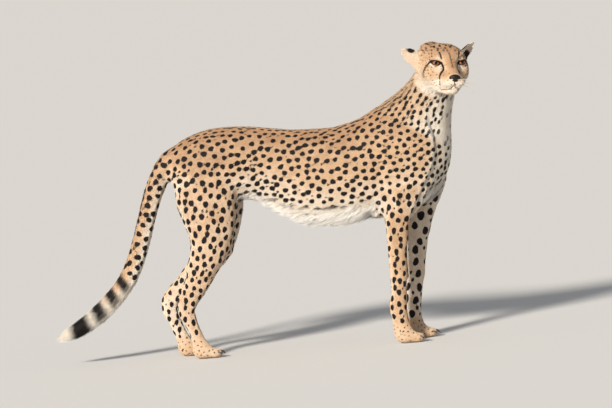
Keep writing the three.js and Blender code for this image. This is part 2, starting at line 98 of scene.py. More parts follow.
def node_points(name):
    mesh = frame["nodes"][name].data
    flat = np.empty(len(mesh.vertices) * 3, np.float32)
    mesh.vertices.foreach_get("co", flat)
    return flat.reshape(-1, 3).astype(float)


def node_centre(name):
    low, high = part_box(name)
    return np.array((low + high) / 2)


class Axes:
    """A frame of reference: an origin and three unit axes, with lengths in metres."""

    def __init__(self, origin, rows):
        self.origin = np.array(origin, float)
        self.rows = np.array(rows, float)

    def local(self, points):
        return (np.asarray(points, float) - self.origin) @ self.rows.T

    def world(self, points):
        return self.origin + np.asarray(points, float) @ self.rows


EYE_SETBACK = 0.013  # of the eyeballs' centres behind the plane of the pupils
NOSE_DROP_ANGLE = math.atan2(0.044, 0.075)  # of the nose below the line of sight, seen from the eyes


def head_axes():
    """Forward, left and up of the head, from its eyes and nose."""
    right_eye, left_eye = node_centre("eye_right"), node_centre("eye_left")
    between = (right_eye + left_eye) / 2
    left = unit(left_eye - right_eye)
    to_nose = node_centre("nose") - between
    to_nose = unit(to_nose - left * (to_nose @ left))
    turned_up = np.cross(to_nose, left)
    forward = unit(math.cos(NOSE_DROP_ANGLE) * to_nose + math.sin(NOSE_DROP_ANGLE) * turned_up)
    up = np.cross(forward, left)
    return Axes(between + forward * EYE_SETBACK, [forward, left, up])


HEAD = head_axes()
EYE_RADIUS = max(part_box("eye_right")[1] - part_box("eye_right")[0]) / 2


def mesh_arrays(mesh):
    """Vertex positions and normals of a mesh."""
    count = len(mesh.vertices)
    points = np.empty(count * 3, np.float32)
    normals = np.empty(count * 3, np.float32)
    mesh.vertices.foreach_get("co", points)
    mesh.vertex_normals.foreach_get("vector", normals)
    return points.reshape(-1, 3).astype(float), normals.reshape(-1, 3).astype(float)


def set_points(mesh, points):
    mesh.vertices.foreach_set("co", points.astype(np.float32).ravel())
    mesh.update()


def write_attribute(mesh, name, values):
    kind = "FLOAT_VECTOR" if values.ndim == 2 else "FLOAT"
    attribute = mesh.attributes.get(name) or mesh.attributes.new(name, kind, "POINT")
    field = "vector" if values.ndim == 2 else "value"
    attribute.data.foreach_set(field, values.astype(np.float32).ravel())


def read_attribute(mesh, name):
    attribute = mesh.attributes[name]
    width = 3 if attribute.data_type == "FLOAT_VECTOR" else 1
    flat = np.empty(len(mesh.vertices) * width, np.float32)
    attribute.data.foreach_get("vector" if width == 3 else "value", flat)
    return flat.reshape(-1, 3).astype(float) if width == 3 else flat.astype(float)


def new_object(name, mesh, material=None):
    piece = bpy.data.objects.new(name, mesh)
    bpy.context.scene.collection.objects.link(piece)
    if material:
        mesh.materials.append(material)
    return piece


def shade_smooth(mesh):
    mesh.polygons.foreach_set("use_smooth", np.ones(len(mesh.polygons), bool))


def mesh_from(name, points, faces):
    """A mesh from an array of points and an array of faces that all have the same number of corners."""
    mesh = bpy.data.meshes.new(name)
    faces = np.asarray(faces, np.int32)
    corners = faces.shape[1]
    mesh.vertices.add(len(points))
    mesh.vertices.foreach_set("co", np.asarray(points, np.float32).ravel())
    mesh.loops.add(faces.size)
    mesh.loops.foreach_set("vertex_index", faces.ravel())
    mesh.polygons.add(len(faces))
    mesh.polygons.foreach_set("loop_start", np.arange(0, faces.size, corners, dtype=np.int32))
    mesh.update(calc_edges=True)
    shade_smooth(mesh)
    return mesh


def ball_mesh(name, points, rings, segments):
    """A closed mesh from rings of points round a ball, followed by its front and back poles."""
    bm = bmesh.new()
    verts = [bm.verts.new(p) for p in points]
    front, back = verts[-2:]
    for s in range(segments):
        after = (s + 1) % segments
        bm.faces.new((front, verts[s], verts[after]))
        for r in range(rings - 2):
            a, b = r * segments, (r + 1) * segments
            bm.faces.new((verts[a + s], verts[b + s], verts[b + after], verts[a + after]))
        last = (rings - 2) * segments
        bm.faces.new((verts[last + after], verts[last + s], back))
    bmesh.ops.recalc_face_normals(bm, faces=bm.faces)
    mesh = bpy.data.meshes.new(name)
    bm.to_mesh(mesh)
    bm.free()
    shade_smooth(mesh)
    return mesh


def edge_ends(mesh):
    flat = np.empty(len(mesh.edges) * 2, np.int32)
    mesh.edges.foreach_get("vertices", flat)
    return flat.reshape(-1, 2)


def tree_of(points):
    """A search tree that gives the index of the point nearest to a place."""
    tree = KDTree(len(points))
    for index, point in enumerate(points):
        tree.insert(point, index)
    tree.balance()
    return tree


class Neighbours:
    """Averages values over each vertex's neighbours."""

    def __init__(self, mesh):
        ends = edge_ends(mesh)
        self.from_ids = np.r_[ends[:, 0], ends[:, 1]]
        self.to_ids = np.r_[ends[:, 1], ends[:, 0]]
        self.count = len(mesh.vertices)
        self.degree = np.maximum(np.bincount(self.to_ids, minlength=self.count), 1)

    def mean(self, values):
        if values.ndim == 1:
            total = np.bincount(self.to_ids, values[self.from_ids], self.count)
            return total / self.degree
        return np.stack([self.mean(column) for column in values.T], axis=1)

    def blur(self, values, passes):
        for _ in range(passes):
            values = 0.5 * values + 0.5 * self.mean(values)
        return values

    def smooth(self, points, passes, strength=1.0):
        """Removes short waves without shrinking the form: each pass smooths and then swells it back."""
        for _ in range(passes):
            for step in (0.5, -0.53):
                points = points + strength * step * (self.mean(points) - points)
        return points


# ------------------------------------------------------------------ settings


class CheetahSkinSettings(bpy.types.PropertyGroup):
    voxel: FloatProperty(
        name="Skin cell",
        description="Size of the skin's mesh cells",
        default=0.0053,
        unit="LENGTH",
    )
    spot_gap: FloatProperty(
        name="Spot spacing",
        description="Least distance between large spots on the flank",
        default=0.0202,
        unit="LENGTH",
    )
    spot_radius: FloatProperty(
        name="Spot radius",
        description="Radius of a large spot on the flank",
        default=0.0086,
        unit="LENGTH",
    )


def coat_colour(name, description, default):
    return FloatVectorProperty(
        name=name, description=description, subtype="COLOR", size=3, min=0.0, max=1.0, default=default
    )


class CheetahCoatSettings(bpy.types.PropertyGroup):
    back: coat_colour("Back", "Colour of the back and crown", (0.40, 0.235, 0.130))
    tawny: coat_colour("Tawny", "Colour of the flanks", (0.58, 0.395, 0.245))
    cream: coat_colour("Cream", "Colour of the belly, throat and inner legs", (0.78, 0.71, 0.61))
    # The belly's white fringe, painted brighter than the cream so that it also stands in for rim light
    # through the hanging hair.
    fringe_and_painted_rim_light: coat_colour("Fringe", "Colour of the long hair under the belly", (0.94, 0.91, 0.86))
    ink: coat_colour("Spots", "Colour of the spots and face lines", (0.0075, 0.0042, 0.0036))
    tufts: IntProperty(
        name="Tufts",
        description="Tufts in each of the four short-coat pieces",
        default=44000,
        min=1000,
    )
    locks: IntProperty(
        name="Long locks",
        description="Longer locks on the belly, nape, cheeks, tail and ears",
        default=19000,
        min=1000,
    )
    length: FloatProperty(
        name="Coat length",
        description="Length of a tuft on the flank",
        default=0.0080,
        unit="LENGTH",
    )


class CheetahStageSettings(bpy.types.PropertyGroup):
    key_power: FloatProperty(
        name="Key light",
        description="Strength of the main light",
        default=5.05,
    )
    key_softness: FloatProperty(
        name="Key softness",
        description="Angle that the main light fills",
        default=math.radians(9),
        subtype="ANGLE",
    )
    sky: FloatProperty(
        name="Sky",
        description="Strength of the light from all round",
        default=0.33,
    )
    distance: FloatProperty(
        name="Camera distance",
        description="From the camera to the animal",
        default=40.0,
        unit="LENGTH",
    )


# ------------------------------------------------------------------ skin: form


SWELL = 0.0004  # closes the cuts between the flesh nodes
EAR_SWELL = 0.0015  # keeps the thin ears whole in the skin's cells


def joined_flesh():
    """All flesh nodes and the eyeballs as one mesh, each swelled a little so that they meet."""
    points, faces, start = [], [], 0
    for name in FLESH + ["eye_left", "eye_right"]:
        mesh = frame["nodes"][name].data
        co, normals = mesh_arrays(mesh)
        points.append(co + normals * (EAR_SWELL if name in EARS else SWELL))
        faces += [[start + v for v in polygon.vertices] for polygon in mesh.polygons]
        start += len(co)
    mesh = bpy.data.meshes.new("flesh")
    mesh.from_pydata(np.vstack(points).tolist(), [], faces)
    return mesh


def remeshed(mesh, voxel):
    """The outer surface of a mesh as even quads."""
    piece = new_object("flesh", mesh)
    modifier = piece.modifiers.new("even cells", "REMESH")
    modifier.mode = "VOXEL"
    modifier.voxel_size = voxel
    evaluated = piece.evaluated_get(bpy.context.evaluated_depsgraph_get())
    result = bpy.data.meshes.new_from_object(evaluated)
    bpy.data.objects.remove(piece)
    bpy.data.meshes.remove(mesh)
    return result


def refine(mesh, near):
    """Splits the faces whose middles pass the test near(points)."""
    bm = bmesh.new()
    bm.from_mesh(mesh)
    bm.faces.ensure_lookup_table()
    middles = np.array([face.calc_center_median() for face in bm.faces])
    chosen = near(middles)
    edges = {edge for face, pick in zip(bm.faces, chosen) if pick for edge in face.edges}
    bmesh.ops.subdivide_edges(bm, edges=list(edges), cuts=1, use_grid_fill=True)
    bm.to_mesh(mesh)
    bm.free()


class NodeFinder:
    """Tells which flesh node lies nearest to each point."""

    def __init__(self):
        points, faces, self.owner, start = [], [], [], 0
        for index, name in enumerate(FLESH):
            mesh = frame["nodes"][name].data
            points += [tuple(v.co) for v in mesh.vertices]
            faces += [[start + v for v in polygon.vertices] for polygon in mesh.polygons]
            self.owner += [index] * len(mesh.polygons)
            start += len(mesh.vertices)
        self.tree = BVHTree.FromPolygons(points, faces)

    def ids(self, points):
        return np.array([self.owner[self.tree.find_nearest(Vector(p))[2]] for p in points])


def part_of(ids, *names):
    """How strongly each vertex belongs to the named nodes, as 0 or 1."""
    wanted = [FLESH.index(name) for name in names]
    return np.isin(ids, wanted).astype(float)


# Almond-shaped eye openings, in the head's axes.
LID_HALF_WIDTH = 0.0155
LID_RISE = 0.0028
LID_DROP = 0.0056
LID_CURVE = 0.8  # below 1 the corners are fuller
LID_THICKNESS = 0.0016
LID_ROLL = 0.0012  # how far the lids' edges stand out
EYE_PIT = 0.004  # the skin passes this deep under the eyeball's front
EYE_TILT = math.radians(8)  # the outer corner is higher
EYE_REACH = 0.034  # the lids and their marks lie within this distance of the eyeball's centre
GAZE_OUT = math.radians(13)  # each eye looks this far out of straight ahead


def eye_axes(side):
    """Gaze, outward and up axes of one eye. side is 1 for the left."""
    centre = node_centre("eye_left" if side > 0 else "eye_right")
    forward, left, up = HEAD.rows
    gaze = unit(forward * math.cos(GAZE_OUT) + left * side * math.sin(GAZE_OUT))
    outward = unit(left * side - gaze * (left * side @ gaze))
    outward = unit(outward * math.cos(EYE_TILT) + up * math.sin(EYE_TILT))
    return Axes(centre, [gaze, outward, np.cross(gaze, outward) * side])


def lid_distance(across, height):
    """Negative inside the almond opening, and about the distance to its edge, in metres."""
    t = np.clip(np.abs(across) / LID_HALF_WIDTH, 0, 1)
    limit = np.where(height > 0, LID_RISE, LID_DROP) * (1 - t**2) ** LID_CURVE
    past_corner = np.maximum(np.abs(across) - LID_HALF_WIDTH, 0)
    outside = np.hypot(np.maximum(np.abs(height) - limit, 0), past_corner)
    inside = np.maximum(limit - np.abs(height), 0) * (past_corner == 0)
    return outside - inside


def round_eye(local):
    """True in front of an eye and near it, for points in the eye's axes."""
    return (local[:, 0] > 0) & (np.linalg.norm(local, axis=1) < EYE_REACH)


def carve_eyes(points):
    """Wraps the skin round each eyeball as lids, and opens an almond gap in it."""
    for side in (1, -1):
        eye = eye_axes(side)
        local = eye.local(points)
        reach = np.linalg.norm(local, axis=1)
        ahead = local[:, 0] > 0.2 * reach
        from_gaze = np.hypot(local[:, 1], local[:, 2])
        near = ahead & (from_gaze < 0.030) & (reach < 0.045)
        gap = lid_distance(local[:, 1], local[:, 2])
        wrap = smooth_step(from_gaze, 0.026, 0.0165)
        on_lid = EYE_RADIUS + LID_THICKNESS + LID_ROLL * smooth_step(gap, 0.006, 0.0015)
        opened = EYE_RADIUS - EYE_PIT
        target = on_lid + (opened - on_lid) * smooth_step(gap, 0.0002, -0.0012)
        new_reach = reach + (target - reach) * wrap
        moved = eye.world(local / np.maximum(reach, 1e-6)[:, None] * new_reach[:, None])
        points = np.where(near[:, None], moved, points)
    return points


def snapped_line(tree, waypoints, step=0.002):
    """Points every step along a line through waypoints in the head's axes, laid onto the skin."""
    stops = HEAD.world(np.array(waypoints) / 1000.0)
    for _ in range(3):
        stops = np.array([tree.find_nearest(Vector(p))[0] for p in stops])
        dense = [stops[0]]
        for a, b in zip(stops[:-1], stops[1:]):
            count = max(int(np.linalg.norm(b - a) / step), 1)
            dense += [a + (b - a) * (i + 1) / count for i in range(count)]
        stops = np.array(dense)
    return np.array([tree.find_nearest(Vector(p))[0] for p in stops])


def distance_to_line(points, line, reach):
    """Distance of each point to the nearest of a line's points, at most reach."""
    tree = tree_of(points)
    distance = np.full(len(points), reach)
    for spot in line:
        for _, index, d in tree.find_range(spot, reach):
            distance[index] = min(distance[index], d)
    return distance


LINE_REACH = 0.012  # beyond this distance a line of the face has no effect

# Lines of the face in mm in the head's axes (forward, left, up), for the left side.
MOUTH_SIDE = [(65, 0, -69), (61, 5, -75), (55, 12, -80), (44, 20, -84), (30, 27, -86), (16, 32, -86)]
PHILTRUM = [(72, 0, -56), (68, 0, -62), (65, 0, -69)]
TEAR_LINE = [
    (8, 25, -3), (13, 22, -13), (14, 21, -22), (11, 28, -32), (12, 34, -42), (15, 35, -56), (10, 36, -66)
]
CHEEK_LINE = [(-5, 51, 5), (-12, 60, 0), (-19, 68, -11), (-27, 73, -24), (-34, 75, -35), (-37, 73, -47)]
BROW_STREAK = [(3, 32, 32), (9, 30, 22), (12, 29, 13)]
BRIDGE_LINE = [(12, -3, 31), (22, -1, 16), (36, -1, 0), (48, 0, -13)]
EAR_PATCHES = [((-88, -95, 41), 15), ((-97, 84, 17), 17)]  # black at the ears' upper roots: middle, radius


def mirrored(line):
    return [(f, -l, u) for f, l, u in line]


def carve_mouth(mesh, points, normals):
    """A narrow groove along the lips and below the nose."""
    polygons = [list(p.vertices) for p in mesh.polygons]
    tree = BVHTree.FromPolygons(points.tolist(), polygons)
    groove = np.zeros(len(points))
    for line, width, depth in (
        (MOUTH_SIDE, 0.0042, 0.0040),
        (mirrored(MOUTH_SIDE), 0.0042, 0.0040),
        (PHILTRUM, 0.0030, 0.0018),
    ):
        d = distance_to_line(points, snapped_line(tree, line), LINE_REACH)
        groove = np.maximum(groove, depth * smooth_step(d, width, 0.0))
    return points - normals * groove[:, None]


# Steps in the body's sides, as fractions (along, up) of the trunk's box. The body falls away ahead of the
# shoulder's front edge and of the thigh's, and behind the shoulder's rear edge.
SHOULDER_FRONT = [
    (0.845, 0.07), (0.865, 0.20), (0.893, 0.32), (0.926, 0.46), (0.944, 0.59), (0.942, 0.72), (0.925, 0.86)
]
SHOULDER_REAR = [(0.790, 0.14), (0.775, 0.32), (0.762, 0.48), (0.775, 0.66)]
THIGH_FRONT = [(0.350, 0.25), (0.318, 0.36), (0.290, 0.50), (0.268, 0.66)]


def carve_steps(points, normals):
    """Recesses the body beside the edges of the shoulders and thighs."""
    low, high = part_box("trunk")
    height = high.z - low.z
    share = (points[:, 2] - low.z) / height
    side = smooth_step(np.abs(normals[:, 1]), 0.12, 0.45)
    sink = np.zeros(len(points))
    for line, way, depth, reach in (
        (SHOULDER_FRONT, 1, 0.0095, 0.055),
        (SHOULDER_REAR, -1, 0.0050, 0.060),
        (THIGH_FRONT, 1, 0.0060, 0.070),
    ):
        ends = np.array(line)
        edge = low.x + (high.x - low.x) * np.interp(share, ends[:, 1], ends[:, 0])
        past = (points[:, 0] - edge) * way
        within = smooth_step(share, ends[0, 1] - 0.10, ends[0, 1] + 0.05)
        within = within * smooth_step(share, ends[-1, 1] + 0.12, ends[-1, 1] - 0.05)
        sink += depth * within * smooth_step(past, -0.006, 0.009) * np.exp(-((past / reach) ** 2))
    return points - normals * (sink * side)[:, None]


def swell_muscles(points, normals):
    """Low swellings and hollows over the shoulder blade, thigh, ribs and loin."""
    low, high = (np.array(corner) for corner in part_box("trunk"))
    leg_low, leg_high = (np.array(corner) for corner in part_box("leg_front_right"))
    shoulder_x = (leg_low[0] + leg_high[0]) / 2
    hip_x = node_centre("leg_hind_right")[0]
    height = high[2] - low[2]
    forms = (
        # middle x, middle z, reach along x, reach along z, lean, rise
        (shoulder_x + 0.012, low[2] + 0.74 * height, 0.030, 0.085, 0.35, 0.0045),
        (shoulder_x - 0.010, low[2] + 0.30 * height, 0.040, 0.050, 0.00, 0.0050),
        (hip_x + 0.020, low[2] + 0.80 * height, 0.040, 0.045, 0.00, 0.0040),
        (hip_x - 0.020, low[2] + 0.30 * height, 0.050, 0.080, 0.20, 0.0040),
    )
    side = smooth_step(np.abs(normals[:, 1]), 0.35, 0.8)
    rise = np.zeros(len(points))
    for x, z, reach_x, reach_z, lean, amount in forms:
        dz = points[:, 2] - z
        dx = points[:, 0] - x - lean * dz
        rise += amount * np.exp(-((dx / reach_x) ** 2) - (dz / reach_z) ** 2)
    return points + normals * (rise * side)[:, None]


# ------------------------------------------------------------------ skin: what grows where

# Straight-down is 0, and straight back is 90 degrees. Pairs are height above the floor and angle.
TAIL_HEIGHTS = [0.09, 0.13, 0.20, 0.30, 0.45, 0.60]
TAIL_ANGLES = [72, 64, 46, 25, 16, 36]


def coat_lie(points, normals, ids, around):
    """The way the hairs lie at each vertex, as a unit vector along the skin."""
    head = HEAD.local(points)
    forward, left, up = HEAD.rows
    nose_tip = HEAD.local(node_centre("nose")[None])[0]
    from_nose = unit(head - nose_tip) + np.array([-0.7, 0.0, 0.0])
    angle = np.radians(np.interp(points[:, 2], TAIL_HEIGHTS, TAIL_ANGLES))
    side = np.sign(head[:, 1])[:, None]
    ways = {
        ("trunk",): np.broadcast_to([-1.0, 0.0, -0.28], points.shape),
        ("neck",): np.broadcast_to([-0.55, 0.08, -0.80], points.shape),
        ("head",): unit(from_nose) @ HEAD.rows,
        tuple(EARS): side * left * 0.8 + up * 0.6 - forward * 0.1,
        tuple(LEGS): np.broadcast_to([-0.18, 0.0, -1.0], points.shape),
        tuple(PAWS): np.broadcast_to([0.75, 0.0, -0.5], points.shape),
        tuple(TAIL): np.stack([-np.sin(angle), np.zeros(len(angle)), -np.cos(angle)], axis=1),
    }
    lie = sum(part_of(ids, *names)[:, None] * way for names, way in ways.items())
    lie = around.blur(unit(lie), 14)
    return unit(lie - normals * np.sum(lie * normals, axis=1, keepdims=True))


def coat_length(points, normals, ids, around, flank_length):
    """Length of the hairs at each vertex, in metres."""
    head = HEAD.local(points)
    trunk_low, trunk_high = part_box("trunk")
    share = (points[:, 2] - trunk_low.z) / (trunk_high.z - trunk_low.z)
    belly = smooth_step(-normals[:, 2], 0.25, 0.85) * smooth_step(share, 0.45, 0.15)
    nape = smooth_step(-normals[:, 0] + 0.6 * normals[:, 2], 0.6, 1.1)
    muzzle = smooth_step(head[:, 0], -0.055, 0.015)
    cheek = smooth_step(head[:, 2], -0.02, -0.07) * smooth_step(head[:, 0], 0.0, -0.03)
    tail_end = smooth_step(points[:, 2], 0.30, 0.12)
    trunk = part_of(ids, "trunk")
    length = trunk * (flank_length + 0.021 * belly)
    length += part_of(ids, "neck") * (flank_length + 0.002 + 0.006 * nape)
    crown = smooth_step(head[:, 2], 0.018, 0.045)
    length += part_of(ids, "head") * (0.0075 - 0.0042 * muzzle + 0.006 * cheek + 0.0035 * crown)
    length += part_of(ids, *EARS) * 0.0036
    length += part_of(ids, *LEGS) * (0.0058 + 0.003 * smooth_step(points[:, 2], 0.2, 0.5))
    length += part_of(ids, *PAWS) * 0.0045
    length += part_of(ids, *TAIL) * (0.009 + 0.006 * tail_end)
    return around.blur(length, 8)


FLANK_TONE = 0.35
TRUNK_SLICES = 40  # slices along the trunk, in which the belly's lowest point is found


def belly_paleness(points, normals, trunk):
    """1 underneath the trunk, fading up its sides."""
    low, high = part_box("trunk")
    along = (points[:, 0] - low.x) / (high.x - low.x)
    bins = np.clip((along * TRUNK_SLICES).astype(int), 0, TRUNK_SLICES - 1)
    floor_of_bin = np.array([
        points[(bins == b) & (trunk > 0), 2].min(initial=high.z) for b in range(TRUNK_SLICES)
    ])
    floor_of_bin = np.convolve(np.pad(floor_of_bin, 3, mode="edge"), np.full(7, 1 / 7), mode="valid")
    above_belly = points[:, 2] - floor_of_bin[bins]
    down = smooth_step(-normals[:, 2], 0.15, 0.8)
    return np.maximum(0.75 * smooth_step(above_belly, 0.165, 0.02), down)


def leg_paleness(points, normals, ids):
    """Pale on the legs' inner and rear sides and under the elbows."""
    fore = part_of(ids, "leg_front_left", "leg_front_right")
    hind = part_of(ids, "leg_hind_left", "leg_hind_right")
    outward = normals[:, 1] * np.sign(points[:, 1] - node_centre("trunk")[1])
    inward = smooth_step(-outward, -0.25, 0.45) * (1 - 0.45 * hind) * (1 - 0.3 * fore)
    elbow = fore * smooth_step(points[:, 2], 0.36, 0.42)
    rearward = 0.40 * smooth_step(-normals[:, 0], 0.35, 0.9)
    rearward = np.maximum(rearward, 0.55 * elbow * smooth_step(-normals[:, 0], 0.15, 0.7))
    rearward = np.maximum(rearward, 0.9 * elbow * smooth_step(-normals[:, 2], 0.05, 0.5))
    fade = np.maximum(0.06 * smooth_step(points[:, 2], 0.45, 0.10), 0.16 * hind)
    return np.maximum(np.maximum(inward, rearward), fade)


def face_paleness(head):
    """Pale on the muzzle, chin and cheeks and in patches over and under the eyes."""
    ahead, aside, up = head[:, 0], np.abs(head[:, 1]), head[:, 2]
    face = smooth_step(up + 0.25 * aside, -0.022, -0.058)
    muzzle_top = smooth_step(aside, 0.016, 0.006) * smooth_step(up, -0.062, -0.046)
    face = face * (1 - muzzle_top * smooth_step(ahead, 0.01, 0.03))
    below_eye = np.exp(-(((aside - 0.036) / 0.016) ** 2) - ((up + 0.019) / 0.010) ** 2)
    above_eye = np.exp(-(((aside - 0.034) / 0.011) ** 2) - ((up - 0.014) / 0.006) ** 2)
    face = np.maximum(face, 0.75 * np.maximum(below_eye, above_eye) * (ahead > -0.03))
    return np.maximum(face, 0.45 * smooth_step(ahead, -0.02, -0.07) * smooth_step(up, 0.03, -0.03))


def eye_rims(points):
    """1 in the narrow white rims under the eyes."""
    rims = np.zeros(len(points))
    for side in (1, -1):
        local = eye_axes(side).local(points)
        gap = lid_distance(local[:, 1], local[:, 2])
        rim = smooth_step(gap, 0.0030, 0.0045) * smooth_step(gap, 0.0110, 0.0070)
        rim = rim * smooth_step(local[:, 2], 0.001, -0.003) * round_eye(local)
        rims = np.maximum(rims, rim)
    return rims


def dorsal_tone(points, normals, ids, head):
    """1 on the dark back, and less on the haunches, the crown and the shins."""
    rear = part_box("trunk")[0].x
    upward = smooth_step(normals[:, 2], 0.0, 0.8) * (1 - part_of(ids, *PAWS, *EARS))
    haunch = 0.6 * part_of(ids, "trunk", "leg_hind_right", "leg_hind_left")
    haunch = haunch * smooth_step(points[:, 0], rear + 0.30, rear + 0.12)
    haunch = haunch * smooth_step(points[:, 2], 0.46, 0.64)
    crown = 0.8 * part_of(ids, "head") * smooth_step(head[:, 2], -0.005, 0.028)
    shin = 0.35 * part_of(ids, "leg_front_left", "leg_front_right") * smooth_step(points[:, 2], 0.47, 0.38)
    return np.maximum(np.maximum(upward, haunch), np.maximum(crown, shin))


def paleness(points, normals, ids, around):
    """0 on the dark back, FLANK_TONE on the tawny flanks and 1 where the coat is cream."""
    head = HEAD.local(points)
    trunk = part_of(ids, "trunk")
    chest = smooth_step(normals[:, 0], 0.35, 0.85) * smooth_step(points[:, 2], 0.80, 0.62)
    throat = smooth_step(normals[:, 0] - 0.35 * normals[:, 1], 0.12, 0.80)
    under_tail = smooth_step(0.9 * normals[:, 0] - 0.5 * normals[:, 2], 0.0, 0.55)
    under_tail = under_tail * (0.55 + 0.45 * smooth_step(points[:, 2], 0.55, 0.40))
    tail = np.maximum(under_tail, smooth_step(points[:, 2], 0.30, 0.14))
    pale = trunk * np.maximum(belly_paleness(points, normals, trunk), chest)
    pale += part_of(ids, "neck") * np.maximum(throat, 0.25)
    pale += part_of(ids, "head") * 0.70 * face_paleness(head)
    pale += part_of(ids, *EARS) * 0.45
    pale += part_of(ids, *LEGS) * leg_paleness(points, normals, ids)
    pale += part_of(ids, *PAWS) * 0.08
    pale += part_of(ids, *TAIL) * tail
    dark = FLANK_TONE * dorsal_tone(points, normals, ids, head)
    pale = FLANK_TONE + (1 - FLANK_TONE) * pale - dark * (1 - pale)
    pale = np.clip(around.blur(pale, 6), 0, 1)
    return np.maximum(pale, eye_rims(points))


class SpotRules:
    """Least spacing, radius and stretch of the spots at each vertex."""

    def __init__(self, points, normals, ids, around, gap, radius):
        head = HEAD.local(points)
        trunk_low, trunk_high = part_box("trunk")
        share = (points[:, 2] - trunk_low.z) / (trunk_high.z - trunk_low.z)
        haunch = smooth_step(points[:, 0], -0.10, -0.20)
        topline = smooth_step(normals[:, 2], 0.5, 0.9)
        front = smooth_step(points[:, 0], 0.30, 0.42)
        shank = smooth_step(points[:, 2], 0.45, 0.25)
        trunk, neck = part_of(ids, "trunk"), part_of(ids, "neck")
        legs, paws = part_of(ids, *LEGS), part_of(ids, *PAWS)
        middle = node_centre("trunk")[1]
        inner = smooth_step(-normals[:, 1] * np.sign(points[:, 1] - middle), 0.1, 0.6)
        inner = inner * part_of(ids, "leg_front_left", "leg_front_right")
        on_head, tail = part_of(ids, "head"), part_of(ids, *TAIL)
        ears = part_of(ids, *EARS)
        scale = trunk * (1 + 0.06 * haunch - 0.20 * topline - 0.08 * front)
        scale += neck * 0.84 + legs * (1.10 - 0.10 * shank) + paws * 0.55 + 0.45 * inner
        crown = smooth_step(head[:, 2], 0.020, 0.045)
        scale += on_head * (0.42 + 0.14 * crown) + tail * 1.06 + ears * 1.0
        size = trunk * (1 + 0.10 * haunch - 0.25 * topline - 0.08 * front)
        size += neck * 0.84 + legs * (1.12 - 0.14 * shank) + paws * 0.34 + 0.40 * inner
        size += on_head * (0.30 + 0.30 * crown) + tail * 1.16 + ears * 0.01
        banded = smooth_step(np.linalg.norm(points - tail_tip(), axis=1), 0.30, 0.26)
        size = size * (1 - 0.99 * tail * banded)
        self.gap = gap * around.blur(scale, 4)
        self.radius = radius * around.blur(size, 4)
        stretch = trunk * (1.06 + 0.40 * topline) + neck * 1.25 + legs * (1.15 + 0.25 * shank)
        self.stretch = stretch + paws + on_head * 1.15 + tail * 0.8 + ears
        bare_face = np.maximum(
            smooth_step(head[:, 0], -0.012, 0.004), smooth_step(head[:, 2], -0.035, -0.05)
        )
        throat = smooth_step(normals[:, 0] - 0.35 * normals[:, 1], 0.75, 0.95) * neck
        self.strength = 1 - on_head * bare_face - 0.85 * throat - ears
        down = smooth_step(-normals[:, 2], 0.35, 0.85) * trunk
        self.strength = np.clip(self.strength - 0.55 * down * smooth_step(share, 0.5, 0.2), 0, 1)
        self.strength = np.clip(around.blur(self.strength, 3), 0, 1)


def scattered(points, triangles, count, random, weight=None):
    """Random places on triangles: the triangle, its three weights, and the point itself."""
    a, b, c = (points[triangles[:, i]] for i in range(3))
    area = np.linalg.norm(np.cross(b - a, c - a), axis=1)
    if weight is not None:
        area = area * weight[triangles].mean(axis=1)
    picks = random.choice(len(triangles), count, p=area / area.sum())
    r1, r2 = np.sqrt(random.random(count)), random.random(count)
    shares = np.stack([1 - r1, r1 * (1 - r2), r1 * r2], axis=1)
    return picks, shares, np.einsum("ij,ijk->ik", shares, points[triangles[picks]])


def spread_spots(places, gaps, taken=(), taken_gaps=()):
    """Of candidate places, those that keep their gap to all kept before them."""
    cell = float(max([gaps.max(), 1e-3, *taken_gaps]))
    around = [(x, y, z) for x in (-1, 0, 1) for y in (-1, 0, 1) for z in (-1, 0, 1)]
    grid = {}

    def cell_of(p):
        return tuple(int(math.floor(c / cell)) for c in p)

    def add(p, gap):
        grid.setdefault(cell_of(p), []).append((p[0], p[1], p[2], gap))

    def neighbours(p):
        cx, cy, cz = cell_of(p)
        for x, y, z in around:
            yield from grid.get((cx + x, cy + y, cz + z), ())

    def is_clear(p, gap):
        for x, y, z, other in neighbours(p):
            limit = max(gap, other)
            if (p[0] - x) ** 2 + (p[1] - y) ** 2 + (p[2] - z) ** 2 < limit * limit:
                return False
        return True

    for p, gap in zip(taken, taken_gaps):
        add(p, gap)
    kept = []
    for index, (p, gap) in enumerate(zip(places.tolist(), gaps.tolist())):
        if is_clear(p, gap):
            add(p, gap)
            kept.append(index)
    return np.array(kept, int)


def evened(places, gaps, kept, passes):
    """Moves each kept place to the middle of the candidates nearest to it, so that all stand evenly."""
    weights = gaps.mean() ** 4 / gaps ** 4
    for _ in range(passes):
        tree = tree_of(places[kept])
        owner = np.array([tree.find(place)[1] for place in places])
        total = np.bincount(owner, weights, len(kept))
        middle = np.stack([np.bincount(owner, weights * places[:, k], len(kept)) for k in range(3)], axis=1)
        middle /= np.maximum(total, 1e-12)[:, None]
        away = np.sum((places - middle[owner]) ** 2, axis=1)
        order = np.lexsort((away, owner))
        first = np.r_[True, np.diff(owner[order]) > 0]
        kept = order[first]
    return kept


SPOTS = []  # the coat's spots, once chosen

SPOT_CANDIDATES = 70000
SPREADING_PASSES = 5
SMALL_SPOT_SHARE = 0.40  # of the gaps that could take one, how many get a small spot
SMALL_GAP = 0.55  # between small spots, as a share of the large spots' gap
SMALL_TO_LARGE_GAP = 0.78
LARGE_SIZES = (0.86, 1.06)
SMALL_SIZES = (0.32, 0.55)
SPOT_REACH = 0.02  # beyond this distance from a spot's edge the coat is simply unspotted


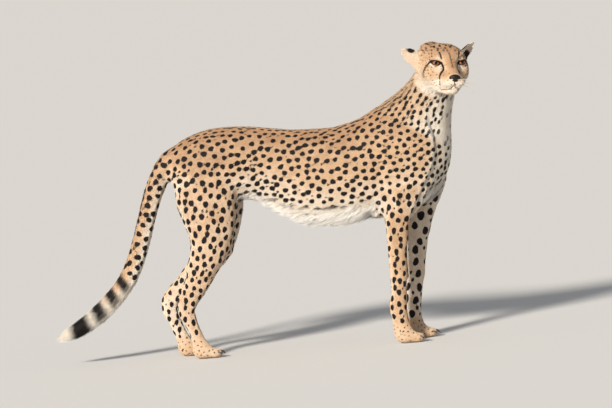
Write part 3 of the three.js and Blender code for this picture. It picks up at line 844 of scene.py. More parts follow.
def choose_spots(points, normals, lie, triangles, rules, random):
    """The spots of the coat: each one's middle, axes, radius, stretch and the phases of its lobes."""
    picks, shares, places = scattered(points, triangles, SPOT_CANDIDATES, random)

    def at(values):
        return np.einsum("ij,ij->i", shares, values[triangles[picks]])

    gaps, radii = at(rules.gap), at(rules.radius)
    stretches, strengths = at(rules.stretch), at(rules.strength)
    large = evened(places, gaps, spread_spots(places, gaps), SPREADING_PASSES)
    small = spread_spots(places, SMALL_GAP * gaps, places[large], SMALL_TO_LARGE_GAP * gaps[large])
    small = small[random.random(len(small)) < SMALL_SPOT_SHARE]
    chosen = np.r_[large, small]
    size = np.r_[random.uniform(*LARGE_SIZES, len(large)), random.uniform(*SMALL_SIZES, len(small))]
    spots = []
    for index, scale in zip(chosen, size):
        if random.random() > strengths[index] + 0.35:
            continue
        corner = triangles[picks[index]][int(np.argmax(shares[index]))]
        normal, along = normals[corner], lie[corner]
        across = np.cross(normal, along)
        turn = random.uniform(-0.35, 0.35)
        spots.append({
            "place": places[index],
            "along": along * math.cos(turn) + across * math.sin(turn),
            "across": across * math.cos(turn) - along * math.sin(turn),
            "normal": normal,
            "radius": radii[index] * scale,
            "stretch": math.sqrt(stretches[index]) * random.uniform(0.94, 1.08),
            "phases": 2 * math.pi * random.random(2),
        })
    return spots


def spot_distance(points, normals, spots):
    """Signed distance of each point to the nearest spot's edge, negative in the spot."""
    tree = tree_of(points)
    distance = np.full(len(points), SPOT_REACH)
    for spot in spots:
        near = tree.find_range(spot["place"], spot["radius"] * 1.6 + 0.007)
        found = np.array([hit[1] for hit in near], int)
        found = found[normals[found] @ spot["normal"] > -0.1]
        if not len(found):
            continue
        offset = points[found] - spot["place"]
        u, v, w = offset @ spot["along"], offset @ spot["across"], offset @ spot["normal"]
        reach = np.sqrt((u / spot["stretch"]) ** 2 + (v * spot["stretch"]) ** 2 + (0.5 * w) ** 2)
        bearing = np.arctan2(v, u)
        first, second = spot["phases"]
        lobes = 1 + 0.07 * np.sin(3 * bearing + first) + 0.05 * np.sin(2 * bearing + second)
        distance[found] = np.minimum(distance[found], reach - spot["radius"] * lobes)
    return distance


def ear_directions(name):
    """How far along an ear from root to tip points lie, as a function, and the way it opens."""
    ear = node_points(name)
    across_head = np.abs(HEAD.local(ear)[:, 1])
    root = ear[across_head <= np.quantile(across_head, 0.2)].mean(axis=0)
    tip = ear[np.argmax(across_head)]
    reach = tip - root
    spread = (ear - ear.mean(axis=0)) - np.outer((ear - ear.mean(axis=0)) @ unit(reach), unit(reach))
    facing = np.linalg.svd(spread, full_matrices=False)[2][1]
    across = np.cross(unit(reach), facing)
    if np.ptp(spread @ facing) > np.ptp(spread @ across):
        facing = across
    facing = facing * np.sign(facing @ HEAD.rows[0])
    return lambda points: (points - root) @ reach / (reach @ reach), facing


# Black bands of the tail: where each starts and ends from the tip, and how far it is open underneath.
TAIL_BANDS = [(0.048, 0.108, 0.0), (0.130, 0.170, 0.6), (0.192, 0.226, 1.0), (0.246, 0.274, 1.0)]
BAND_EDGE = 0.004  # the bands' edges fade over this distance to either side


def tail_tip():
    low, high = (np.array(corner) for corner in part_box("tail_tip"))
    return np.array([low[0], (low[1] + high[1]) / 2, low[2] + 0.022])


MOUTH_CORNER = np.array([0.012, 0.040, -0.074])  # the left one, in the head's axes
MOUTH_CORNER_REACH = np.array([0.012, 0.010, 0.009])


def dark_marks(mesh, points, normals, ids):
    """1 on the black lines of the face, the lids, the lips, the ears' backs and the tail's bands, and in
    painted brow shadow that widens the black over the upper lids.
    """
    polygons = [list(p.vertices) for p in mesh.polygons]
    tree = BVHTree.FromPolygons(points.tolist(), polygons)
    dark = np.zeros(len(points))
    lines = (
        (TEAR_LINE, 0.0042, 1.0),
        (mirrored(TEAR_LINE), 0.0042, 1.0),
        (MOUTH_SIDE, 0.0013, 0.75),
        (mirrored(MOUTH_SIDE), 0.0013, 0.75),
        (CHEEK_LINE, 0.0034, 1.0),
        (mirrored(CHEEK_LINE), 0.0034, 1.0),
        (BROW_STREAK, 0.0030, 1.0),
        (mirrored(BROW_STREAK), 0.0030, 1.0),
        (BRIDGE_LINE, 0.0020, 0.75),
        (PHILTRUM, 0.0018, 0.85),
    )
    for line, width, strength in lines:
        d = distance_to_line(points, snapped_line(tree, line), LINE_REACH)
        dark = np.maximum(dark, strength * smooth_step(d, width + 0.0014, width - 0.0010))
    head = HEAD.local(points)
    for side in (1, -1):
        local = eye_axes(side).local(points)
        near = (local[:, 0] > 0) & (np.linalg.norm(local, axis=1) < 0.032)
        gap = lid_distance(local[:, 1], local[:, 2])
        # The black lid rim is the eye's own marking. The extra width over the upper lid is painted shade
        # from the brow.
        brow = 0.0022 * smooth_step(local[:, 2], 0.0, 0.004)
        dark = np.maximum(dark, near * smooth_step(gap - brow, 0.0044, 0.0024))
    folded = np.stack([head[:, 0], np.abs(head[:, 1]), head[:, 2]], axis=1)
    corner = np.exp(-np.sum(((folded - MOUTH_CORNER) / MOUTH_CORNER_REACH) ** 2, axis=1))
    dark = np.maximum(dark, 0.62 * smooth_step(corner, 0.15, 0.7))
    for name in EARS:
        along, facing = ear_directions(name)
        ear = part_of(ids, name) > 0
        share = along(points)
        back = smooth_step(-(normals @ facing), -0.10, 0.30)
        rim = smooth_step(normals @ facing, 0.75, 0.35) * smooth_step(normals @ HEAD.rows[2], 0.25, 0.55)
        back = np.maximum(back, rim)
        band = smooth_step(share, 0.72, 0.56) * smooth_step(share, 0.02, 0.14)
        dark = np.where(ear, np.maximum(dark, back * band), dark)
    for middle, radius in EAR_PATCHES:
        away = np.linalg.norm(head - np.array(middle) / 1000, axis=1) / (radius / 1000)
        dark = np.maximum(dark, smooth_step(away, 1.05, 0.85))
    from_tip = np.linalg.norm(points - tail_tip(), axis=1)
    tail = part_of(ids, *TAIL)
    under = smooth_step(0.8 * normals[:, 0] - 0.6 * normals[:, 2], 0.25, 0.75)
    for start, end, open_below in TAIL_BANDS:
        band = smooth_step(from_tip, start - BAND_EDGE, start + BAND_EDGE)
        band = band * smooth_step(from_tip, end + BAND_EDGE, end - BAND_EDGE)
        dark = np.maximum(dark, tail * band * (1 - open_below * under))
    return dark


def unwrap_skin(skin):
    skin.data.uv_layers.new(name="OFBake")
    bpy.context.view_layer.objects.active = skin
    skin.select_set(True)
    bpy.ops.object.mode_set(mode="EDIT")
    bpy.ops.mesh.select_all(action="SELECT")
    bpy.ops.uv.smart_project(angle_limit=math.radians(70), island_margin=0.0008)
    bpy.ops.object.mode_set(mode="OBJECT")
    skin.select_set(False)


# ------------------------------------------------------------------ materials


class Shader:
    """A short way to wire a material's nodes."""

    def __init__(self, name, base=(0.5, 0.5, 0.5), roughness=0.6, **inputs):
        self.material = bpy.data.materials.new(name)
        self.material.use_nodes = True
        self.tree = self.material.node_tree
        self.surface = self.tree.nodes["Principled BSDF"]
        self.surface.inputs["Base Color"].default_value = (*base, 1)
        self.surface.inputs["Roughness"].default_value = roughness
        for key, value in inputs.items():
            self.surface.inputs[key.replace("_", " ")].default_value = value

    def add(self, kind, **settings):
        node = self.tree.nodes.new(kind)
        for key, value in settings.items():
            setattr(node, key, value)
        return node

    def link(self, source, target):
        self.tree.links.new(source, target)

    def attribute(self, name):
        return self.add("ShaderNodeAttribute", attribute_name=name).outputs["Fac"]

    def noise(self, scale, detail=3.0, roughness=0.55):
        place = self.add("ShaderNodeTexCoord").outputs["Object"]
        noise = self.add("ShaderNodeTexNoise")
        noise.inputs["Scale"].default_value = scale
        noise.inputs["Detail"].default_value = detail
        noise.inputs["Roughness"].default_value = roughness
        self.link(place, noise.inputs["Vector"])
        return noise.outputs["Fac"]

    def math(self, operation, *values):
        node = self.add("ShaderNodeMath", operation=operation)
        for socket, value in zip(node.inputs, values):
            if isinstance(value, (int, float)):
                socket.default_value = value
            else:
                self.link(value, socket)
        return node.outputs["Value"]

    def remap(self, value, low, high, out_low=0.0, out_high=1.0, soft=True):
        node = self.add("ShaderNodeMapRange", interpolation_type="SMOOTHSTEP" if soft else "LINEAR")
        limits = {"From Min": low, "From Max": high, "To Min": out_low, "To Max": out_high}
        for key, number in limits.items():
            node.inputs[key].default_value = number
        self.link(value, node.inputs["Value"])
        return node.outputs["Result"]

    def mix(self, share, first, second, blend="MIX"):
        node = self.add("ShaderNodeMix", data_type="RGBA", blend_type=blend)
        for socket, value in ((node.inputs[0], share), (node.inputs[6], first), (node.inputs[7], second)):
            if isinstance(value, (int, float)):
                socket.default_value = value
            elif isinstance(value, (tuple, list)):
                socket.default_value = (*value, 1) if len(value) == 3 else value
            else:
                self.link(value, socket)
        return node.outputs[2]

    def grey(self, value):
        """A grey colour from a number."""
        node = self.add("ShaderNodeCombineColor")
        for socket in node.inputs:
            self.link(value, socket)
        return node.outputs["Color"]

    def bump(self, height, strength, distance):
        node = self.add("ShaderNodeBump")
        node.inputs["Strength"].default_value = strength
        node.inputs["Distance"].default_value = distance
        self.link(height, node.inputs["Height"])
        self.link(node.outputs["Normal"], self.surface.inputs["Normal"])


def coat_material(name, settings, tufted):
    """Fur: tawny to cream by the paleness, black in the spots and marks, with fine streaks of hair."""
    shader = Shader(name, roughness=0.72, Sheen_Weight=0.10, Sheen_Roughness=0.45, Specular_IOR_Level=0.22)
    shader.surface.inputs["Sheen Tint"].default_value = (1.0, 0.93, 0.82, 1)
    shader.surface.inputs["Diffuse Roughness"].default_value = 0.6
    blotch = shader.noise(22.0, 2.0)
    grain = shader.noise(520.0, 2.0)
    ragged = shader.noise(330.0, 2.0)
    pale = shader.math("ADD", shader.attribute("pale"), shader.remap(blotch, 0.3, 0.7, -0.09, 0.09, False))
    warm = tuple(settings.back)
    for start, end, colour in (
        (0.0, FLANK_TONE, settings.tawny),
        (FLANK_TONE, 1.0, settings.cream),
        # Past 1.1 the paleness reaches the fringe colour: white belly hair, made brighter as painted rim
        # light.
        (1.1, 1.35, settings.fringe_and_painted_rim_light),
    ):
        warm = shader.mix(shader.remap(pale, start, end, soft=False), warm, tuple(colour))
    light = shader.remap(grain, 0.25, 0.75, 0.80, 1.16, False)
    if tufted:
        light = shader.math("MULTIPLY", light, shader.attribute("shade"))
    tone = shader.mix(1.0, warm, shader.grey(light), "MULTIPLY")
    ragged = shader.remap(ragged, 0.25, 0.75, -0.0011, 0.0011, False)
    edge = shader.math("ADD", shader.attribute("spot"), ragged)
    in_spot = shader.remap(edge, 0.0009, -0.0009)
    in_spot = shader.math("MULTIPLY", in_spot, shader.attribute("ink"))
    marked = shader.math("MAXIMUM", in_spot, shader.attribute("dark"))
    colour = shader.mix(marked, tone, tuple(settings.ink))
    shader.link(colour, shader.surface.inputs["Base Color"])
    if not tufted:
        shader.bump(shader.noise(700.0, 3.0), 0.35, 0.0008)
    return shader.material


# ------------------------------------------------------------------ operators


HEAD_MIDDLE = np.array([-0.035, 0.0, -0.010])  # in the head's axes
HEAD_REACH = 0.128  # the skin's cells are halved within this distance of the head's middle
SKIN_DEPTH = 0.32  # how deep the skin lies under the flesh nodes, as a share of the hair's length
LONG_HAIR = 0.012
LONG_HAIR_DEPTH = 0.35  # the extra share, of the length past LONG_HAIR


class CHEETAH_OT_skin(bpy.types.Operator):
    """Makes one seamless skin inside the flesh nodes, with lids, lips and muscles"""

    bl_idname = "cheetah.skin"
    bl_label = "Make skin"

    def execute(self, context):
        settings = context.scene.cheetah_skin
        coat = context.scene.cheetah_coat
        mesh = remeshed(joined_flesh(), settings.voxel)
        if not mesh.polygons:
            raise RuntimeError("the flesh nodes gave no skin")
        finder = NodeFinder()
        points = mesh_arrays(mesh)[0]
        ids = finder.ids(points)
        around = Neighbours(mesh)
        trunk = around.blur(part_of(ids, "trunk", "neck"), 10)[:, None]
        points = around.smooth(points, 6)
        points = around.smooth(points, 60, trunk)
        broad = around.blur(points, 26)
        points = points + (broad - points) * trunk**2 * 0.9
        set_points(mesh, points)
        refine(mesh, lambda p: np.linalg.norm(HEAD.local(p) - HEAD_MIDDLE, axis=1) < HEAD_REACH)
        refine(mesh, self.near_eyes_and_lips)
        around = Neighbours(mesh)
        points = mesh_arrays(mesh)[0]
        ids = finder.ids(points)
        head = around.blur(part_of(ids, "head"), 6)[:, None]
        points = around.smooth(points, 14, head)
        set_points(mesh, points)
        points, normals = mesh_arrays(mesh)
        points = swell_muscles(points, normals)
        points = carve_steps(points, normals)
        length = coat_length(points, normals, ids, around, coat.length)
        depth = SKIN_DEPTH * length + LONG_HAIR_DEPTH * np.maximum(length - LONG_HAIR, 0)
        points = points - normals * depth[:, None]
        points = carve_eyes(points)
        set_points(mesh, points)
        points, normals = mesh_arrays(mesh)
        set_points(mesh, carve_mouth(mesh, points, normals))
        shade_smooth(mesh)
        mesh.name = SKIN
        skin = new_object(SKIN, mesh)
        unwrap_skin(skin)
        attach(skin, BODY)
        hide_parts(*FLESH)
        return {"FINISHED"}

    @staticmethod
    def near_eyes_and_lips(points):
        local = HEAD.local(points)
        near = np.zeros(len(points), bool)
        for side in (1, -1):
            near |= np.linalg.norm(points - eye_axes(side).origin, axis=1) < EYE_REACH
        across, height = np.abs(local[:, 1]), np.abs(local[:, 2] + 0.068)
        return near | ((local[:, 0] > 0.0) & (across < 0.042) & (height < 0.022))


class CHEETAH_OT_markings(bpy.types.Operator):
    """Lays the lie, length, colours and spots of the coat on the skin"""

    bl_idname = "cheetah.markings"
    bl_label = "Lay markings"

    def execute(self, context):
        settings = context.scene.cheetah_skin
        coat = context.scene.cheetah_coat
        mesh = bpy.data.objects[SKIN].data
        points, normals = mesh_arrays(mesh)
        ids = NodeFinder().ids(points)
        around = Neighbours(mesh)
        random = np.random.default_rng(RANDOM_SEED)
        lie = coat_lie(points, normals, ids, around)
        rules = SpotRules(points, normals, ids, around, settings.spot_gap, settings.spot_radius)
        triangles = triangles_of(mesh)
        write_attribute(mesh, "lie", lie)
        write_attribute(mesh, "length", coat_length(points, normals, ids, around, coat.length))
        write_attribute(mesh, "pale", paleness(points, normals, ids, around))
        SPOTS.extend(choose_spots(points, normals, lie, triangles, rules, random))
        write_attribute(mesh, "spot", spot_distance(points, normals, SPOTS))
        write_attribute(mesh, "ink", 0.55 + 0.45 * rules.strength)
        write_attribute(mesh, "dark", dark_marks(mesh, points, normals, ids))
        write_attribute(mesh, "node", ids.astype(float))
        mesh.materials.append(coat_material("skin_coat", coat, False))
        return {"FINISHED"}


def triangles_of(mesh):
    mesh.calc_loop_triangles()
    flat = np.empty(len(mesh.loop_triangles) * 3, np.int32)
    mesh.loop_triangles.foreach_get("vertices", flat)
    return flat.reshape(-1, 3)


def triangle_loops(mesh):
    flat = np.empty(len(mesh.loop_triangles) * 3, np.int32)
    mesh.loop_triangles.foreach_get("loops", flat)
    return flat.reshape(-1, 3)


class Pelt:
    """The skin's mesh, from which tufts take their roots, lie, colours and places on the unwrap."""

    CARRIED = ("pale", "ink", "dark")

    def __init__(self):
        mesh = bpy.data.objects[SKIN].data
        self.points, self.normals = mesh_arrays(mesh)
        self.triangles = triangles_of(mesh)
        self.values = {name: read_attribute(mesh, name) for name in self.CARRIED + ("length", "node")}
        self.lie = read_attribute(mesh, "lie")
        layer = mesh.uv_layers["OFBake"]
        flat = np.empty(len(mesh.loops) * 2, np.float32)
        layer.uv.foreach_get("vector", flat)
        self.uv = flat.reshape(-1, 2)[triangle_loops(mesh)]
        self.ids = self.values["node"].round().astype(int)
        self.tree = tree_of(self.points)

    def dark_near(self, places):
        """The dark marks of the skin nearest to places."""
        return self.values["dark"][[self.tree.find(place)[1] for place in places]]

    def roots(self, count, random, weight):
        picks, shares, places = scattered(self.points, self.triangles, count, random, weight)
        corners = self.triangles[picks]

        def at(values):
            return np.einsum("ij,ij...->i...", shares, values[corners])

        root = {name: at(self.values[name]) for name in self.CARRIED + ("length",)}
        root["normal"] = unit(at(self.normals))
        lie = at(self.lie)
        lie -= root["normal"] * np.sum(lie * root["normal"], axis=1, keepdims=True)
        root["lie"] = unit(lie)
        root["place"] = places
        root["uv"] = np.einsum("ij,ijk->ik", shares, self.uv[picks])
        return root


# Half the size of a tuft's patch on the unwrap.
PATCH_HALF_WIDTH = 0.0012
PATCH_HALF_HEIGHT = 0.0014


def tuft_mesh(name, pelt, root, length, width, lift, sway, segments, droop, random):
    """Tapered three-sided locks, each a closed solid from its root to its tip."""
    count = len(length)
    normal, lie = root["normal"], root["lie"]
    across = np.cross(normal, lie)
    turn = random.uniform(-sway, sway, count)[:, None]
    lie = unit(lie * np.cos(turn) + across * np.sin(turn))
    across = np.cross(normal, lie)
    rings, centre = [], root["place"] - normal * (0.25 * width)[:, None]
    step = length / segments
    for ring in range(segments):
        share = 1 - ring / segments
        half = across * (0.5 * width * (0.35 + 0.65 * share))[:, None]
        ridge = normal * (0.42 * width * share)[:, None]
        rings.append(np.stack([centre + half, centre - half, centre + ridge], axis=1))
        rise = lift * (1 - 0.6 * ring / segments)
        way = lie * np.cos(rise)[:, None] + normal * np.sin(rise)[:, None]
        way = unit(way + np.array([0.0, 0.0, -1.0]) * droop * (ring + 1) / segments)
        centre = centre + way * step[:, None]
    points = np.concatenate(rings + [centre[:, None]], axis=1)
    per_tuft = points.shape[1]
    pattern = [(0, 1, 2)]
    for ring in range(segments - 1):
        a, b = 3 * ring, 3 * ring + 3
        for i in range(3):
            j = (i + 1) % 3
            pattern += [(a + j, a + i, b + i), (a + j, b + i, b + j)]
    last, tip = 3 * (segments - 1), per_tuft - 1
    pattern += [(last + 1, last, tip), (last + 2, last + 1, tip), (last, last + 2, tip)]
    faces = (np.array(pattern)[None] + (np.arange(count) * per_tuft)[:, None, None]).reshape(-1, 3)
    mesh = mesh_from(name, points.reshape(-1, 3), faces)
    for key in ("pale", "ink"):
        write_attribute(mesh, key, np.repeat(root[key], per_tuft))
    beside = np.stack([root["place"], centre], axis=1).reshape(-1, 3)
    spot = spot_distance(beside, np.repeat(normal, 2, axis=0), SPOTS).reshape(-1, 2)
    share = np.r_[np.repeat(np.arange(segments) / segments, 3), 1.0]
    spot = spot[:, :1] * (1 - share) + spot[:, 1:] * share
    write_attribute(mesh, "spot", spot.ravel())
    dark = root["dark"][:, None] * (1 - share) + pelt.dark_near(centre)[:, None] * share
    write_attribute(mesh, "dark", dark.ravel())
    write_attribute(mesh, "shade", np.repeat(random.uniform(0.84, 1.12, count), per_tuft))
    patch = np.stack([
        np.resize([-PATCH_HALF_WIDTH, PATCH_HALF_WIDTH, 0.0], per_tuft),
        np.linspace(-PATCH_HALF_HEIGHT, PATCH_HALF_HEIGHT, per_tuft),
    ], axis=1)
    spots = (np.clip(root["uv"], 0.002, 0.998)[:, None] + patch[None]).reshape(-1, 2)
    layer = mesh.uv_layers.new(name="OFBake")
    layer.uv.foreach_set("vector", spots[faces.ravel()].astype(np.float32).ravel())
    soft = np.repeat(root.get("facing", normal), per_tuft, axis=0)
    mesh.normals_split_custom_set_from_vertices(unit(soft).tolist())
    return mesh


# Where no hair grows.
LID_MARGIN = 0.0028  # from the edge of the lids
SOLE_HEIGHT = 0.004  # above the floor
NOSE_CLEARANCE = 0.017  # from the middle of the nose


class CHEETAH_OT_coat(bpy.types.Operator):
    """Covers the skin with tufts of short hair that follow the lie of the coat"""

    bl_idname = "cheetah.coat"
    bl_label = "Grow coat"

    def execute(self, context):
        settings = context.scene.cheetah_coat
        pelt = Pelt()
        random = np.random.default_rng(RANDOM_SEED + 1)
        material = coat_material("tuft_coat", settings, True)
        trunk = part_of(pelt.ids, "trunk", "neck")
        middle = node_centre("trunk")[1]
        left = pelt.points[:, 1] > middle
        hind = part_of(
            pelt.ids, "leg_hind_left", "leg_hind_right", "paw_hind_left", "paw_hind_right", *TAIL
        )
        fore = part_of(pelt.ids, "leg_front_left", "leg_front_right", "paw_front_left", "paw_front_right")
        face = part_of(pelt.ids, "head", *EARS)
        eyes = np.zeros(len(pelt.points), bool)
        for side in (1, -1):
            local = eye_axes(side).local(pelt.points)
            eyes |= round_eye(local) & (lid_distance(local[:, 1], local[:, 2]) < LID_MARGIN)
        soles = pelt.points[:, 2] < SOLE_HEIGHT
        nose = np.linalg.norm(pelt.points - node_centre("nose"), axis=1) < NOSE_CLEARANCE
        grows = 1.0 - (eyes | soles | nose)
        areas = {
            "coat_right_flank": trunk * ~left,
            "coat_left_flank": trunk * left,
            "coat_head_and_forelegs": face * 2.2 + fore,
            "coat_hindquarters": hind,
        }
        for name, weight in areas.items():
            root = pelt.roots(settings.tufts, random, weight * grows)
            length = root["length"] * random.uniform(0.8, 1.25, settings.tufts)
            width = 0.0007 + 0.11 * root["length"]
            lift = np.radians(random.uniform(7, 19, settings.tufts))
            mesh = tuft_mesh(name, pelt, root, length, width, lift, 0.22, 1, 0.0, random)
            self.finish_piece(new_object(name, mesh, material))
        self.long_locks(pelt, random, material, settings.locks)
        return {"FINISHED"}

    def long_locks(self, pelt, random, material, count):
        """Longer, curved locks where the outline is soft: belly, nape, cheeks, tail and ears."""
        length = pelt.values["length"]
        ears = part_of(pelt.ids, *EARS)
        front = pelt.normals @ HEAD.rows[0]
        weight = 2.0 * smooth_step(length, 0.0095, 0.018) + 0.05 * (length > 0.0078)
        weight = weight + 0.6 * ears * (front > 0.1)
        root = pelt.roots(count, random, weight * (pelt.points[:, 2] > 0.05))
        reach = root["length"] * random.uniform(0.85, 1.4, count)
        width = 0.0010 + 0.025 * root["length"]
        lift = np.radians(random.uniform(12, 32, count))
        under = smooth_step(-root["normal"][:, 2], 0.1, 0.8)
        aside = np.sign(root["place"][:, 1] - node_centre("trunk")[1])
        root["facing"] = root["normal"].copy()
        root["facing"][:, 1] += 1.1 * under * aside
        root["facing"][:, 2] += 0.7 * under
        # The locks underneath are pushed towards the fringe colour: white belly hair, with painted rim
        # light in the extra brightness.
        root["pale"] = root["pale"] + 0.4 * under
        root["ink"] = root["ink"] * (1 - 0.75 * under)
        mesh = tuft_mesh("coat_long_locks", pelt, root, reach, width, lift, 0.30, 2, 0.15, random)
        self.finish_piece(new_object("coat_long_locks", mesh, material))

    @staticmethod
    def finish_piece(piece):
        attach(piece, BODY)


CORNEA_RISE = 0.0010
CORNEA_REACH = 0.42  # radians from the eyeball's pole


def eyeball_mesh(name, axes, rings=36, segments=48):
    """A ball whose pole looks along the first axis, with a low cornea swelling round the pole."""
    points = []
    for ring in range(1, rings):
        polar = math.pi * ring / rings
        reach = EYE_RADIUS + CORNEA_RISE * math.exp(-((polar / CORNEA_REACH) ** 2))
        for segment in range(segments):
            turn = 2 * math.pi * segment / segments
            aside, height = math.sin(polar) * math.cos(turn), math.sin(polar) * math.sin(turn)
            points.append([reach * math.cos(polar), reach * aside, reach * height])
    points += [[EYE_RADIUS + CORNEA_RISE, 0, 0], [-EYE_RADIUS, 0, 0]]
    mesh = ball_mesh(name, axes.world(np.array(points)), rings, segments)
    local = axes.local(mesh_arrays(mesh)[0])
    polar = np.arctan2(np.hypot(local[:, 1], local[:, 2]), local[:, 0])
    write_attribute(mesh, "polar", polar)
    write_attribute(mesh, "height", local[:, 2] / EYE_RADIUS)
    return mesh


def eye_material():
    """An amber iris with a dark rim, a round pupil and a dark brown white, under a wet coat, with a painted
    shadow of the upper lid over the iris's top.
    """
    shader = Shader(
        "wet_eye", roughness=0.12, Coat_Weight=0.15, Coat_Roughness=0.03, Specular_IOR_Level=0.15
    )
    polar = shader.attribute("polar")
    streaks = shader.noise(900.0, 2.0)
    amber = shader.mix(shader.remap(streaks, 0.3, 0.7), (0.25, 0.080, 0.024), (0.40, 0.145, 0.045))
    iris = shader.mix(shader.remap(polar, 0.50, 0.66), amber, (0.07, 0.025, 0.008))
    iris = shader.mix(shader.remap(polar, 0.70, 0.76), iris, (0.02, 0.012, 0.009))
    # Painted shadow of the upper lid: the iris darkens towards its top, by the eyeball's height.
    painted_lid_shadow = shader.remap(shader.attribute("height"), 0.02, 0.24, 0.0, 0.8)
    iris = shader.mix(painted_lid_shadow, iris, (0.012, 0.006, 0.004))
    eye = shader.mix(shader.remap(polar, 0.26, 0.30), (0.002, 0.002, 0.002), iris)
    shader.link(eye, shader.surface.inputs["Base Color"])
    return shader.material


class CHEETAH_OT_eyes(bpy.types.Operator):
    """Sets an amber eyeball behind each pair of lids"""

    bl_idname = "cheetah.eyes"
    bl_label = "Set eyes"

    def execute(self, context):
        material = eye_material()
        for side, name in ((1, "left"), (-1, "right")):
            mesh = eyeball_mesh(f"eyeball_{name}", eye_axes(side))
            eye = new_object(f"eyeball_{name}", mesh, material)
            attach(eye, BODY)
            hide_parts(f"eye_{name}")
        return {"FINISHED"}


NOSE_HALF_WIDTH = 0.0185
NOSE_HALF_HEIGHT = 0.0125
NOSE_DEPTH = 0.012
NOSE_SETBACK = 0.0045  # of the pad's middle behind the middle of its node
NOSTRIL_DEPTH = 0.0062
CLEFT_DEPTH = 0.0012


def nose_shape(side_angle, polar):
    """A point of the nose pad in its own axes, for an angle round its middle and one from its front."""
    across = math.cos(side_angle) * math.sin(polar)
    height = math.sin(side_angle) * math.sin(polar)
    narrowing = 1.0 - 0.42 * max(-height, 0.0)
    point = np.array([
        NOSE_DEPTH * math.cos(polar),
        NOSE_HALF_WIDTH * across * narrowing,
        NOSE_HALF_HEIGHT * height,
    ])
    point[0] += 0.003 * (height > 0) * height
    nostril_out, nostril_down = abs(point[1]) - 0.0100, point[2] + 0.0030
    pit = math.exp(-((nostril_out / 0.0040) ** 2) - (nostril_down / 0.0026) ** 2)
    cleft = math.exp(-((point[1] / 0.0016) ** 2)) * (point[2] < 0.002)
    if polar < math.pi / 2:
        point[0] -= NOSTRIL_DEPTH * pit + CLEFT_DEPTH * cleft
    return point


class CHEETAH_OT_nose(bpy.types.Operator):
    """Shapes the black nose pad with its nostrils"""

    bl_idname = "cheetah.nose"
    bl_label = "Shape nose"

    def execute(self, context):
        rings, segments = 34, 64
        axes = Axes(node_centre("nose") - HEAD.rows[0] * NOSE_SETBACK, HEAD.rows)
        points = [
            nose_shape(2 * math.pi * s / segments, math.pi * r / rings)
            for r in range(1, rings) for s in range(segments)
        ]
        points += [nose_shape(0.0, 0.0), nose_shape(0.0, math.pi)]
        mesh = ball_mesh("nose_pad", axes.world(np.array(points)), rings, segments)
        shader = Shader("nose_leather", (0.012, 0.010, 0.010), 0.5, Specular_IOR_Level=0.3)
        pebble = shader.add("ShaderNodeTexVoronoi")
        pebble.inputs["Scale"].default_value = 900.0
        shader.link(shader.add("ShaderNodeTexCoord").outputs["Object"], pebble.inputs["Vector"])
        shader.bump(pebble.outputs["Distance"], 0.5, 0.0004)
        mottle = shader.remap(shader.noise(260.0), 0.4, 0.7)
        tint = shader.mix(mottle, (0.005, 0.004, 0.004), (0.016, 0.012, 0.011))
        shader.link(tint, shader.surface.inputs["Base Color"])
        nose = new_object("nose_pad", mesh, shader.material)
        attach(nose, BODY)
        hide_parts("nose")
        return {"FINISHED"}


def claw_points(tip, root, rings, sides, radius):
    """A curved, tapering claw from its root to its tip, arched upwards."""
    along = tip - root
    length = np.linalg.norm(along)
    along = along / length
    sideways = unit(np.cross([0.0, 0.0, 1.0], along))
    up = np.cross(along, sideways)
    points = []
    for ring in range(rings):
        share = ring / (rings - 1)
        centre = root + along * length * share + up * 0.16 * length * math.sin(math.pi * share)
        girth = radius * (1 - share**1.6) + 0.0002
        for side in range(sides):
            turn = 2 * math.pi * side / sides
            points.append(centre + girth * (0.7 * math.cos(turn) * sideways + 1.15 * math.sin(turn) * up))
    return points + [root, tip]


class CHEETAH_OT_claws(bpy.types.Operator):
    """Sets four short, blunt, half-drawn claws on each paw"""

    bl_idname = "cheetah.claws"
    bl_label = "Set claws"

    def execute(self, context):
        rings, sides, radius = 9, 12, 0.0034
        points, faces = [], []
        for name in CLAWS:
            low, high = (np.array(corner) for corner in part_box(name))
            paw = node_centre("paw_" + name[5:-2])
            middle = (low + high) / 2
            away = unit((middle - paw) * [1.0, 1.0, 0.0])
            reach = high[0] - low[0]
            tip = np.array([*(middle[:2] + away[:2] * 0.5 * reach), low[2] + 0.0006])
            root = np.array([*(middle[:2] - away[:2] * 0.9 * reach), high[2] + 0.0005])
            start = len(points)
            points += claw_points(tip, root, rings, sides, radius)
            for s in range(sides):
                after = (s + 1) % sides
                for r in range(rings - 1):
                    a, b = start + r * sides, start + (r + 1) * sides
                    faces.append((a + s, a + after, b + after, b + s))
                last = start + (rings - 1) * sides
                faces.append((start + after, start + s, len(points) - 2))
                faces.append((last + s, last + after, len(points) - 1))
        mesh = bpy.data.meshes.new("claws")
        mesh.from_pydata(points, [], faces)
        shade_smooth(mesh)
        shader = Shader("claw_horn", (0.05, 0.035, 0.028), 0.32)
        streaks = shader.remap(shader.noise(380.0), 0.35, 0.7)
        tint = shader.mix(streaks, (0.025, 0.018, 0.015), (0.12, 0.085, 0.06))
        shader.link(tint, shader.surface.inputs["Base Color"])
        shader.bump(shader.noise(1200.0), 0.2, 0.0003)
        claws = new_object("claws", mesh, shader.material)
        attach(claws, BODY)
        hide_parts(*CLAWS)
        return {"FINISHED"}


